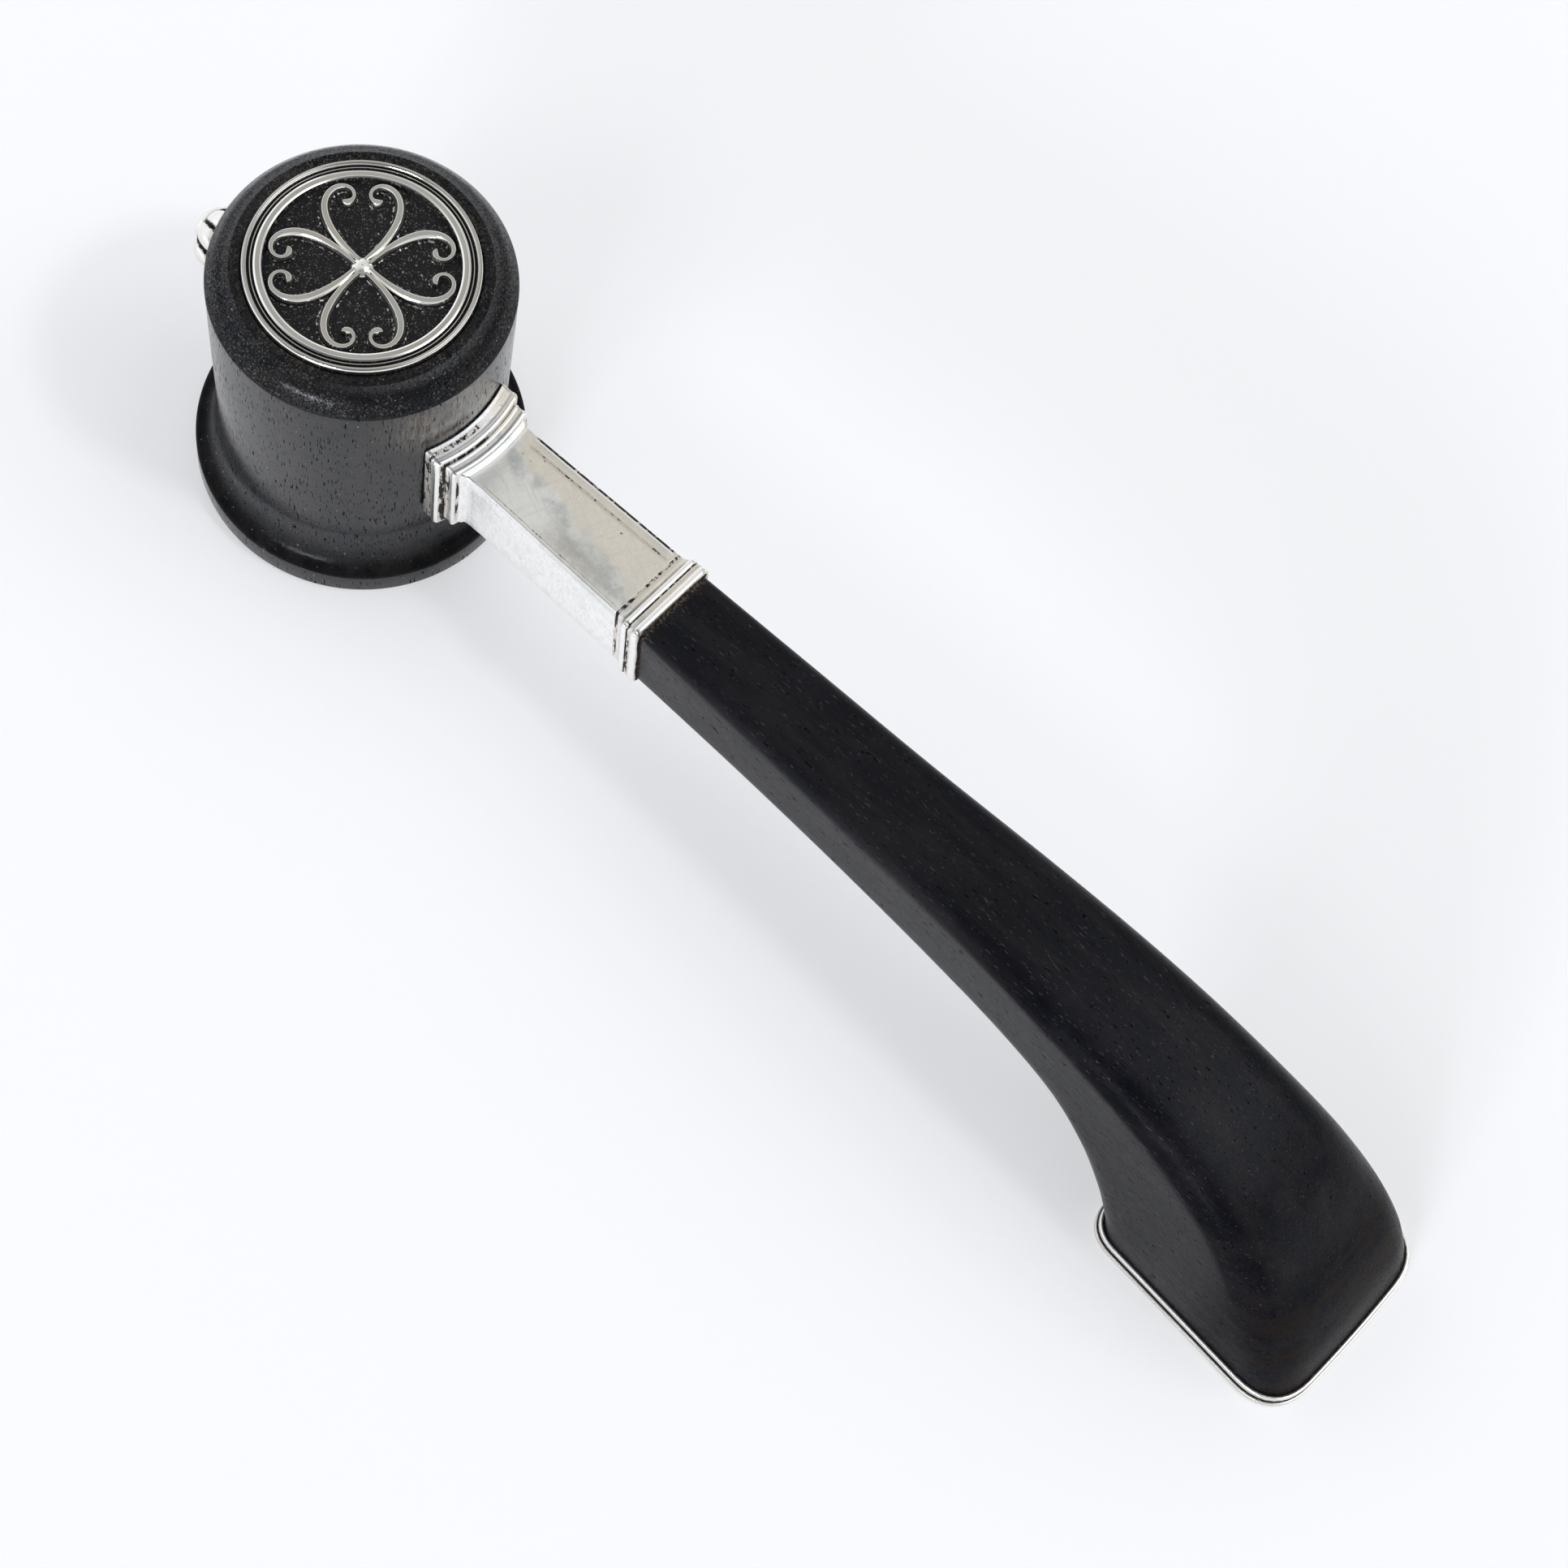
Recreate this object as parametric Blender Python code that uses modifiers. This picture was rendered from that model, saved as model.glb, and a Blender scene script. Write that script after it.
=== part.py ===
# A ceremonial gavel: an upright turned ebony head with a silver medallion on top, a silver socket,
# an arched ebony handle that turns down on to a silver end plate, and a lobed silver knob.
# Metres, +Z up. The origin is the middle of the head's flat underside. The handle runs along +X.

import math

import bmesh
import bpy
from mathutils import Matrix, Vector

MM = 0.001
FIT_GAP = 0.3 * MM
EDGE_BREAK = 0.4 * MM

# Head: a cylinder with a rounded shoulder above and a flared foot below.
HEAD_RADIUS = 25.0 * MM
HEAD_HEIGHT = 61.3 * MM
RIM_HEIGHT = 57.0 * MM
CROWN_RADIUS = 21.0 * MM
FOOT_RADIUS = 28.4 * MM
FOOT_EDGE_HEIGHT = 4.9 * MM
COVE_TOP_HEIGHT = 13.5 * MM
COVE_SWEEP = 82.0
WAIST_RADIUS = 24.1 * MM
SHOULDER_BULGE = 0.55 * MM
TURNED_STEPS = 60

# Medallion: a plaque let into the crown, with two beads round a sunk ground.
MEDALLION_RADIUS = 19.1 * MM
MEDALLION_DEPTH = 1.5 * MM
GROUND_RADIUS = 15.9 * MM
GROUND_BELOW_CROWN = 0.4 * MM
BEAD_FOOT_ABOVE_CROWN = 0.3 * MM
INNER_BEAD_WIDTH = 1.5 * MM
INNER_BEAD_RISE = 0.8 * MM
OUTER_BEAD_WIDTH = 1.1 * MM
OUTER_BEAD_RISE = 0.6 * MM

# Rosette on the medallion: four scrolled hearts round a boss. Bends are in radians per metre.
HEART_COUNT = 4
HEART_TURN = math.radians(45.0)
SCROLL_HEIGHT = 0.8 * MM
SCROLL_ROOT = 0.3 * MM
SCROLL_START = Vector((1.2 * MM, 0.5 * MM))
SCROLL_HEADING = math.radians(48.0)
SCROLL_LENGTH = 22.0 * MM
SCROLL_FIRST_BEND = -40.0
SCROLL_LAST_BEND = -1000.0
SCROLL_BEND_POWER = 3.0
SCROLL_STEPS = 22
SCROLL_WIDTH = 1.25 * MM
SCROLL_TIP_WIDTH = 0.7 * MM
BOSS_RADIUS = 1.9 * MM

# Socket: its axis leaves the head a little upwards.
SOCKET_TILT = math.radians(2.4)
SOCKET_PIVOT = Vector((31.0 * MM, 0.0, 32.15 * MM))

# End plate: a rounded trapezium, wider at its far end.
PLATE_HEIGHT = 3.0 * MM
PLATE_NEAR_X = 182.7 * MM
PLATE_FAR_X = 226.6 * MM
PLATE_NEAR_HALF_WIDTH = 17.4 * MM
PLATE_FAR_HALF_WIDTH = 20.4 * MM
PLATE_NEAR_CORNER = 6.8 * MM
PLATE_FAR_CORNER = 8.8 * MM
PLATE_BOW = 0.7 * MM
HANDLE_SET_BACK = 0.9 * MM
# Its edge, as inset and height in millimetres: two rims with a groove between them.
PLATE_RIM_PROFILE = [
    (0.35, 0.0),
    (0.0, 0.35),
    (0.0, 1.05),
    (0.5, 1.35),
    (0.5, 1.6),
    (0.15, 1.9),
    (0.15, 2.6),
    (0.5, 3.0),
]

# Knob: eight lobes round an axis that points away from the handle.
KNOB_HEIGHT = 30.0 * MM
KNOB_CENTRE_X = -31.7 * MM
KNOB_RADIUS = 6.3 * MM
KNOB_HALF_LENGTH = 4.5 * MM
KNOB_LOBES = 8
KNOB_LOBE_DEPTH = 0.16
KNOB_TIP_RADIUS = 3.4 * MM
KNOB_TIP_LENGTH = 5.9 * MM
KNOB_TIP_DOME = 3.0 * MM
KNOB_CORE_RADIUS = 3.0 * MM
KNOB_CORE_TOP = 1.0 * MM
KNOB_CORE_BOTTOM = -3.4 * MM
KNOB_FOOT_TOP = -3.9 * MM
KNOB_FOOT_RADIUS = 3.6 * MM

ARC_STEPS = 4


def clear_scene():
    for old in list(bpy.data.objects):
        bpy.data.objects.remove(old, do_unlink=True)


def make_collection(name):
    collection = bpy.data.collections.new(name)
    bpy.context.scene.collection.children.link(collection)
    return collection


def make_material(name, colour, roughness, metallic):
    material = bpy.data.materials.new(name)
    material.use_nodes = True
    shader = material.node_tree.nodes["Principled BSDF"]
    shader.inputs["Base Color"].default_value = (*colour, 1.0)
    shader.inputs["Roughness"].default_value = roughness
    shader.inputs["Metallic"].default_value = metallic
    return material


def ebony(name):
    return make_material(name, (0.022, 0.020, 0.019), 0.38, 0.0)


def silver(name):
    return make_material(name, (0.80, 0.78, 0.73), 0.28, 1.0)


def add_object(name, mesh, collection, material=None):
    obj = bpy.data.objects.new(name, mesh)
    collection.objects.link(obj)
    if material:
        mesh.materials.append(material)
    return obj


def finish_smooth(mesh, angle_degrees=35.0):
    mesh.shade_smooth()
    mesh.set_sharp_from_angle(angle=math.radians(angle_degrees))


def mesh_from_bmesh(name, bm):
    bmesh.ops.recalc_face_normals(bm, faces=bm.faces)
    mesh = bpy.data.meshes.new(name)
    bm.to_mesh(mesh)
    bm.free()
    return mesh


def turned(name, profile, collection, material, steps=TURNED_STEPS):
    # The profile runs from the axis at the top, down the outer side, back to the axis.
    mesh = bpy.data.meshes.new(name)
    points = [(radius, 0.0, height) for radius, height in profile]
    edges = [(i, i + 1) for i in range(len(points) - 1)]
    mesh.from_pydata(points, edges, [])
    obj = add_object(name, mesh, collection, material)
    screw = obj.modifiers.new("turn", "SCREW")
    screw.axis = "Z"
    screw.angle = 2.0 * math.pi
    screw.steps = steps
    screw.render_steps = steps
    screw.use_merge_vertices = True
    screw.merge_threshold = 0.00001
    screw.use_smooth_shade = True
    return obj


def apply_modifiers(obj):
    depsgraph = bpy.context.evaluated_depsgraph_get()
    mesh = bpy.data.meshes.new_from_object(obj.evaluated_get(depsgraph))
    obj.modifiers.clear()
    obj.data = mesh


def quarter(centre, radii, start, end, steps):
    # Points of an elliptical arc in the profile plane, angles in degrees from +X towards +Z.
    points = []
    for i in range(steps + 1):
        angle = math.radians(start + (end - start) * i / steps)
        points.append((centre[0] + radii[0] * math.cos(angle), centre[1] + radii[1] * math.sin(angle)))
    return points


def bead(inner, outer, base, rise, steps=4):
    # A half-round moulding seen in profile, from its inner foot to its outer foot.
    middle = (inner + outer) / 2.0
    return quarter((middle, base), ((outer - inner) / 2.0, rise), 180.0, 0.0, steps)


def fillet(before, corner, after, radius, steps=ARC_STEPS):
    # An arc that rounds a corner, between any two straight edges.
    toward_before = (before - corner).normalized()
    toward_after = (after - corner).normalized()
    half_angle = toward_before.angle(toward_after) / 2.0
    bisector = (toward_before + toward_after).normalized()
    centre = corner + bisector * (radius / math.sin(half_angle))
    start = corner + toward_before * (radius / math.tan(half_angle)) - centre
    end = corner + toward_after * (radius / math.tan(half_angle)) - centre
    sweep = start.angle_signed(end)
    return [centre + Matrix.Rotation(-sweep * i / steps, 2) @ start for i in range(steps + 1)]


def section(length, low_width, high_width, low_radius, high_radius, crown=0.0, sole=0.0):
    # A rounded trapezium: u runs from its low edge at 0 to its high edge at length, v is across.
    # crown and sole bow the high and low edges outwards.
    corners = [
        Vector((0.0, low_width)),
        Vector((length, high_width)),
        Vector((length, -high_width)),
        Vector((0.0, -low_width)),
    ]
    radii = [low_radius, high_radius, high_radius, low_radius]
    points = []
    for i, corner in enumerate(corners):
        before = corners[i - 1]
        after = corners[(i + 1) % 4]
        points += fillet(before, corner, after, radii[i])
        if i in (1, 3):
            points += edge_points(points[-1])
    return [bowed(point, length, low_width, high_width, crown, sole) for point in points]


def edge_points(last):
    # Three points across a straight edge, so that it can be bowed.
    return [Vector((last.x, last.y * share)) for share in (0.5, 0.0, -0.5)]


def bowed(point, length, low_width, high_width, crown, sole):
    share = point.x / length
    rise = crown * share * (1.0 - (point.y / high_width) ** 2)
    drop = sole * (1.0 - share) * (1.0 - (point.y / low_width) ** 2)
    return Vector((point.x + rise - drop, point.y))


def loft(name, rings, collection, material, cap_strips=False):
    # Joins rings of equal point counts. A strip cap follows a curved end across its width.
    bm = bmesh.new()
    loops = [[bm.verts.new(point) for point in ring] for ring in rings]
    count = len(loops[0])
    for near, far in zip(loops, loops[1:]):
        for i in range(count):
            j = (i + 1) % count
            bm.faces.new((near[i], near[j], far[j], far[i]))
    if cap_strips:
        strip_cap(bm, loops[0])
    else:
        bm.faces.new(loops[0])
    bm.faces.new(loops[-1])
    mesh = mesh_from_bmesh(name, bm)
    finish_smooth(mesh)
    return add_object(name, mesh, collection, material)


def strip_cap(bm, ring):
    # The ring is symmetric top to bottom: each upper point has its partner straight below it.
    low_half = sorted(ring, key=lambda vert: (round(vert.co.y, 7), vert.co.z))
    columns = []
    for vert in low_half:
        if columns and abs(columns[-1][-1].co.y - vert.co.y) < 0.000001:
            columns[-1].append(vert)
        else:
            columns.append([vert])
    for left, right in zip(columns, columns[1:]):
        bm.faces.new([*left, *reversed(right)])


def drum_radius(height):
    # The drum narrows gently from its rim down to the cove.
    share = (RIM_HEIGHT - height) / (RIM_HEIGHT - COVE_TOP_HEIGHT)
    return HEAD_RADIUS - (HEAD_RADIUS - WAIST_RADIUS) * share ** 1.2


def shoulder_points(steps=4):
    # A shallow arc from the crown down to the rim.
    crown = Vector((CROWN_RADIUS, HEAD_HEIGHT))
    rim = Vector((HEAD_RADIUS, RIM_HEIGHT))
    outward = Vector((HEAD_HEIGHT - RIM_HEIGHT, HEAD_RADIUS - CROWN_RADIUS)).normalized()
    points = []
    for i in range(1, steps):
        share = i / steps
        points.append(crown.lerp(rim, share) + outward * (4.0 * share * (1.0 - share) * SHOULDER_BULGE))
    return points


def head_drum(collection):
    recess_radius = MEDALLION_RADIUS + FIT_GAP
    recess_floor = HEAD_HEIGHT - MEDALLION_DEPTH - FIT_GAP
    side_heights = [RIM_HEIGHT * (1.0 - i / 5) + COVE_TOP_HEIGHT * i / 5 for i in range(5)]
    cove_radii = (FOOT_RADIUS - WAIST_RADIUS, COVE_TOP_HEIGHT - FOOT_EDGE_HEIGHT)
    profile = [
        (0.0, recess_floor),
        (recess_radius, recess_floor),
        (recess_radius, HEAD_HEIGHT),
        (CROWN_RADIUS, HEAD_HEIGHT),
        *shoulder_points(),
        *[(drum_radius(height), height) for height in side_heights],
        *quarter((FOOT_RADIUS, COVE_TOP_HEIGHT), cove_radii, 180.0, 180.0 + COVE_SWEEP, 6),
        (FOOT_RADIUS, FOOT_EDGE_HEIGHT),
        (FOOT_RADIUS, EDGE_BREAK),
        (FOOT_RADIUS - EDGE_BREAK, 0.0),
        (0.0, 0.0),
    ]
    return turned("head_drum", profile, collection, ebony("head ebony"))


def scroll_path():
    # One side of a heart: it leaves the boss almost straight and bends ever more into its curl.
    heading = SCROLL_HEADING
    position = SCROLL_START.copy()
    step = SCROLL_LENGTH / SCROLL_STEPS
    points = [position.copy()]
    for i in range(SCROLL_STEPS):
        share = (i + 0.5) / SCROLL_STEPS
        bend = SCROLL_FIRST_BEND + (SCROLL_LAST_BEND - SCROLL_FIRST_BEND) * share ** SCROLL_BEND_POWER
        heading += bend * step
        position = position + Vector((math.cos(heading), math.sin(heading))) * step
        points.append(position.copy())
    return points


def scroll_half_widths():
    # The stroke swells in the middle and tapers to both ends.
    swell = SCROLL_WIDTH - SCROLL_TIP_WIDTH
    halves = []
    for i in range(SCROLL_STEPS + 1):
        halves.append((SCROLL_TIP_WIDTH + swell * math.sin(math.pi * i / SCROLL_STEPS) ** 0.8) / 2.0)
    return halves


def add_scroll(bm, path, turn, flip, low, high):
    # A flat-topped raised stroke with slightly sloping sides, turned into its place.
    place = Matrix.Rotation(turn, 2)
    rows = []
    for i, half in enumerate(scroll_half_widths()):
        along = (path[min(i + 1, SCROLL_STEPS)] - path[max(i - 1, 0)]).normalized()
        across = Vector((-along.y, along.x)) * half
        row = []
        for spread, height in ((1.25, low), (0.85, high), (-0.85, high), (-1.25, low)):
            edge = path[i] + across * spread
            point = place @ Vector((edge.x, edge.y * flip))
            row.append(bm.verts.new((point.x, point.y, height)))
        rows.append(row)
    for near, far in zip(rows, rows[1:]):
        for i in range(4):
            j = (i + 1) % 4
            bm.faces.new((near[i], near[j], far[j], far[i]))
    bm.faces.new(rows[0])
    bm.faces.new(rows[-1])


def rosette(collection, low, high):
    bm = bmesh.new()
    path = scroll_path()
    for i in range(HEART_COUNT):
        turn = HEART_TURN + 2.0 * math.pi * i / HEART_COUNT
        add_scroll(bm, path, turn, 1.0, low, high)
        add_scroll(bm, path, turn, -1.0, low, high)
    bmesh.ops.create_cone(
        bm,
        cap_ends=True,
        segments=18,
        radius1=BOSS_RADIUS,
        radius2=BOSS_RADIUS * 0.75,
        depth=high - low,
        matrix=Matrix.Translation((0.0, 0.0, (low + high) / 2.0)),
    )
    scrolls = add_object("rosette", mesh_from_bmesh("rosette", bm), collection)
    mark_cutter(scrolls)
    return scrolls


def medallion(collection, cutters):
    ground = HEAD_HEIGHT - GROUND_BELOW_CROWN
    back = HEAD_HEIGHT - MEDALLION_DEPTH
    foot = HEAD_HEIGHT + BEAD_FOOT_ABOVE_CROWN
    inner_edge = GROUND_RADIUS + INNER_BEAD_WIDTH
    outer_edge = MEDALLION_RADIUS - OUTER_BEAD_WIDTH
    profile = [
        (0.0, ground),
        (GROUND_RADIUS - 0.1 * MM, ground),
        *bead(GROUND_RADIUS, inner_edge, foot, INNER_BEAD_RISE),
        ((inner_edge + outer_edge) / 2.0, foot - 0.1 * MM),
        *bead(outer_edge, MEDALLION_RADIUS, foot, OUTER_BEAD_RISE),
        (MEDALLION_RADIUS, back),
        (0.0, back),
    ]
    plaque = turned("medallion", profile, collection, silver("medallion silver"))
    apply_modifiers(plaque)
    join = plaque.modifiers.new("rosette", "BOOLEAN")
    join.operation = "UNION"
    join.use_self = True
    join.object = rosette(cutters, ground - SCROLL_ROOT, ground + SCROLL_HEIGHT)
    return plaque


def mark_cutter(obj):
    obj.hide_render = True
    obj.display_type = "WIRE"


# Socket stations, in millimetres: place on its axis, half width, half height, middle's height
# above the socket's axis, corner radius. Up to COLLAR_END they wrap round the drum.
COLLAR_END = 31.6
COLLAR_STATIONS = [
    (25.05, 8.85, 10.8, -1.15, 0.5),
    (25.7, 9.1, 11.05, -1.15, 0.5),
    (27.7, 9.15, 11.1, -1.15, 0.5),
    (28.1, 8.9, 10.85, -1.15, 0.4),
    (28.2, 7.85, 9.1, -0.45, 0.4),
    (28.6, 7.7, 8.95, -0.4, 0.4),
    (28.9, 8.05, 9.25, -0.4, 0.4),
    (29.5, 8.2, 9.35, -0.35, 0.4),
    (30.3, 8.1, 9.3, -0.35, 0.4),
    (30.6, 7.75, 8.95, -0.25, 0.4),
    (30.75, 7.1, 8.45, -0.1, 0.4),
    (COLLAR_END, 6.85, 8.25, 0.0, 0.4),
]
BODY_STATIONS = [
    (34.0, 6.8, 8.15, 0.0, 0.4),
    (46.0, 6.95, 8.15, 0.0, 0.4),
    (65.6, 7.4, 8.15, 0.0, 0.4),
    (66.4, 7.55, 8.3, 0.0, 0.6),
    (66.8, 8.1, 8.8, 0.0, 1.0),
    (67.2, 8.45, 9.05, 0.0, 1.2),
    (67.8, 8.55, 9.15, 0.0, 1.2),
    (68.3, 8.3, 8.95, 0.0, 1.2),
    (68.5, 7.9, 8.6, 0.0, 1.1),
    (68.7, 8.15, 8.8, 0.0, 1.1),
    (69.2, 8.5, 9.1, 0.0, 1.2),
    (69.9, 8.5, 9.1, 0.0, 1.2),
    (70.35, 8.15, 8.75, 0.0, 1.1),
]


def socket_ring(station, wraps):
    along, half_width, half_height, lift, corner = (value * MM for value in station)
    lean = Matrix.Identity(3) if wraps else Matrix.Rotation(-SOCKET_TILT, 3, "Y")
    ring = []
    for point in section(2.0 * half_height, half_width, half_width, corner, corner):
        reach = math.sqrt(along ** 2 - point.y ** 2) if wraps else along
        offset = Vector((reach - SOCKET_PIVOT.x, point.y, lift + point.x - half_height))
        ring.append(SOCKET_PIVOT + lean @ offset)
    return ring


def silver_socket(collection):
    rings = [socket_ring(station, True) for station in COLLAR_STATIONS]
    rings += [socket_ring(station, False) for station in BODY_STATIONS]
    return loft("silver_socket", rings, collection, silver("socket silver"), cap_strips=True)


# Handle stations, in millimetres: underside x and z, top x and z, half width below and above,
# corner radius below and above, bow of the top. Each section stands between its two points.
HANDLE_STATIONS = [
    (71.0, 25.0, 70.3, 42.4, 7.6, 7.6, 1.8, 2.0, 0.2),
    (94.0, 26.2, 93.5, 43.5, 8.5, 8.35, 2.6, 2.8, 0.3),
    (117.0, 25.7, 117.5, 44.4, 9.1, 9.15, 3.2, 3.4, 0.4),
    (138.0, 24.7, 141.0, 45.7, 9.9, 10.2, 3.8, 4.0, 0.5),
    (153.0, 24.7, 159.0, 45.3, 11.2, 11.25, 4.2, 4.6, 0.6),
    (164.6, 22.5, 175.0, 43.6, 12.3, 12.15, 4.6, 5.2, 0.8),
    (172.8, 17.8, 190.0, 40.0, 13.6, 13.1, 5.0, 6.0, 1.0),
    (178.8, 11.6, 204.0, 33.2, 14.8, 14.8, 5.3, 6.6, 1.2),
    (182.1, 6.8, 214.8, 22.5, 15.7, 17.2, 5.6, 7.2, 1.2),
    (183.4, 4.4, 221.9, 11.6, 16.2, 18.8, 5.8, 7.6, 1.0),
]
HANDLE_STEPS = 3


def catmull_rom(rows, index, share):
    # A smooth curve through the rows, each value taken by itself.
    p0 = rows[max(index - 1, 0)]
    p1 = rows[index]
    p2 = rows[index + 1]
    p3 = rows[min(index + 2, len(rows) - 1)]
    values = []
    for a, b, c, d in zip(p0, p1, p2, p3):
        slope = (c - a) / 2.0
        next_slope = (d - b) / 2.0
        cubic = 2.0 * (b - c) + slope + next_slope
        square = 3.0 * (c - b) - 2.0 * slope - next_slope
        values.append(((cubic * share + square) * share + slope) * share + b)
    return values


def handle_end_station():
    base = PLATE_HEIGHT + FIT_GAP
    row = (
        PLATE_NEAR_X + HANDLE_SET_BACK,
        base,
        PLATE_FAR_X - HANDLE_SET_BACK,
        base,
        PLATE_NEAR_HALF_WIDTH - HANDLE_SET_BACK,
        PLATE_FAR_HALF_WIDTH - HANDLE_SET_BACK,
        PLATE_NEAR_CORNER - HANDLE_SET_BACK,
        PLATE_FAR_CORNER - HANDLE_SET_BACK,
        PLATE_BOW,
    )
    return tuple(value / MM for value in row)


def handle_ring(row):
    low_x, low_z, high_x, high_z, low_width, high_width, low_corner, high_corner, crown = (
        value * MM for value in row
    )
    low = Vector((low_x, 0.0, low_z))
    rise = Vector((high_x, 0.0, high_z)) - low
    along = rise.normalized()
    ring = []
    for point in section(rise.length, low_width, high_width, low_corner, high_corner, crown):
        ring.append(low + along * point.x + Vector((0.0, point.y, 0.0)))
    return ring


def handle(collection):
    rows = [*HANDLE_STATIONS, handle_end_station()]
    rings = []
    for index in range(len(rows) - 1):
        for step in range(HANDLE_STEPS):
            rings.append(handle_ring(catmull_rom(rows, index, step / HANDLE_STEPS)))
    rings.append(handle_ring(rows[-1]))
    return loft("handle", rings, collection, ebony("handle ebony"))


def plate_ring(inset, height):
    outline = section(
        PLATE_FAR_X - PLATE_NEAR_X - 2.0 * inset,
        PLATE_NEAR_HALF_WIDTH - inset,
        PLATE_FAR_HALF_WIDTH - inset,
        PLATE_NEAR_CORNER - inset,
        PLATE_FAR_CORNER - inset,
        PLATE_BOW,
    )
    return [Vector((PLATE_NEAR_X + inset + point.x, point.y, height)) for point in outline]


def end_plate(collection):
    rings = [plate_ring(inset * MM, height * MM) for inset, height in PLATE_RIM_PROFILE]
    return loft("end_plate", rings, collection, silver("plate silver"))


def finial(collection, cutters):
    # A turned stem and end boss, with a lobed ball round them.
    bm = bmesh.new()
    bmesh.ops.create_uvsphere(bm, u_segments=4 * KNOB_LOBES, v_segments=12, radius=1.0)
    for vert in bm.verts:
        angle = math.atan2(vert.co.y, vert.co.x)
        groove = 1.0 - KNOB_LOBE_DEPTH * (1.0 - abs(math.sin(KNOB_LOBES * angle / 2.0)))
        vert.co.x *= KNOB_RADIUS * groove
        vert.co.y *= KNOB_RADIUS * groove
        vert.co.z *= KNOB_HALF_LENGTH
    ball = add_object("knob_ball", mesh_from_bmesh("knob_ball", bm), cutters)
    mark_cutter(ball)
    stem_length = -drum_radius(KNOB_HEIGHT) - FIT_GAP - KNOB_CENTRE_X
    tip_height = KNOB_TIP_LENGTH - KNOB_TIP_DOME
    profile = [
        (0.0, KNOB_TIP_LENGTH),
        *quarter((0.0, tip_height), (KNOB_TIP_RADIUS, KNOB_TIP_DOME), 75.0, 0.0, 4),
        (KNOB_CORE_RADIUS, KNOB_CORE_TOP),
        (KNOB_CORE_RADIUS, KNOB_CORE_BOTTOM),
        (KNOB_FOOT_RADIUS, KNOB_FOOT_TOP),
        (KNOB_FOOT_RADIUS, EDGE_BREAK - stem_length),
        (KNOB_FOOT_RADIUS - EDGE_BREAK / 2.0, -stem_length),
        (0.0, -stem_length),
    ]
    knob = turned("finial", profile, collection, silver("knob silver"), 24)
    apply_modifiers(knob)
    towards_minus_x = Matrix.Rotation(-math.pi / 2.0, 4, "Y")
    outward = Matrix.Translation((KNOB_CENTRE_X, 0.0, KNOB_HEIGHT)) @ towards_minus_x
    knob.data.transform(outward)
    ball.data.transform(outward)
    join = knob.modifiers.new("ball", "BOOLEAN")
    join.operation = "UNION"
    join.object = ball
    return knob


def build():
    clear_scene()
    parts = make_collection("ceremonial_gavel")
    cutters = make_collection("cutters")
    head_drum(parts)
    medallion(parts, cutters)
    silver_socket(parts)
    handle(parts)
    end_plate(parts)
    finial(parts, cutters)


build()
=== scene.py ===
# Looks for a ceremonial gavel: ebony head and handle, silver medallion, socket, knob and end plate.
# Metres. The head stands on the origin, the handle runs along +X and its end plate lies on the table.
import math

import bmesh
import bpy
from mathutils import Matrix, Vector


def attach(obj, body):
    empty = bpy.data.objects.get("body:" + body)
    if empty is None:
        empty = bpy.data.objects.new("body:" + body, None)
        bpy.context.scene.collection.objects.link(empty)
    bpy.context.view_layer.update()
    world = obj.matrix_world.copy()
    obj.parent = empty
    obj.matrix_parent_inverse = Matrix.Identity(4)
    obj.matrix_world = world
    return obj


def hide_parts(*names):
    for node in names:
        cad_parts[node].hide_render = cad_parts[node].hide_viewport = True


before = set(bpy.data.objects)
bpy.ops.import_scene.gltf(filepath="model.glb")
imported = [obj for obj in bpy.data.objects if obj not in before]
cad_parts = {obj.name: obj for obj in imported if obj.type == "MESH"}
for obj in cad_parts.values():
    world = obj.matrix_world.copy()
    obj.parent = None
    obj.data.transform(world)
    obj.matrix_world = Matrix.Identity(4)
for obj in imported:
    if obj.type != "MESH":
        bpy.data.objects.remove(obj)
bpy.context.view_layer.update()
mm = 0.001


# shared helpers: outlines

def arcPoints(centre, radii, startDegrees, endDegrees, steps):
    # points of an elliptical arc, angles from the first axis towards the second
    points = []
    for i in range(steps + 1):
        angle = math.radians(startDegrees + (endDegrees - startDegrees) * i / steps)
        points.append((centre[0] + radii[0] * math.cos(angle), centre[1] + radii[1] * math.sin(angle)))
    return points


def roundedOutline(corners, steps=4, longest=None):
    # corners are (u, v, rounding, dirt): each corner becomes an arc, and long runs get points between
    points = []
    last = len(corners) - 1
    for i, (u, v, rounding, dirt) in enumerate(corners):
        corner = Vector((u, v))
        if rounding <= 0.0 or i in (0, last):
            points.append((u, v, dirt))
            continue
        before = Vector(corners[i - 1][:2]) - corner
        after = Vector(corners[i + 1][:2]) - corner
        half = before.angle(after) / 2.0
        reach = min(rounding / math.tan(half), 0.45 * before.length, 0.45 * after.length)
        start = corner + before.normalized() * reach
        end = corner + after.normalized() * reach
        for k in range(steps + 1):
            t = k / steps
            bent = start * (1 - t) ** 2 + corner * 2 * t * (1 - t) + end * t ** 2
            points.append((bent.x, bent.y, dirt))
    if longest is None:
        return points
    finer = [points[0]]
    for before, after in zip(points, points[1:]):
        count = max(1, math.ceil(math.hypot(after[0] - before[0], after[1] - before[1]) / longest))
        for k in range(1, count + 1):
            finer.append(tuple(a + (b - a) * k / count for a, b in zip(before, after)))
    return finer


def smoothStep(low, high, value):
    t = min(max((value - low) / (high - low), 0.0), 1.0)
    return t * t * (3.0 - 2.0 * t)


# shared helpers: meshes

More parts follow.
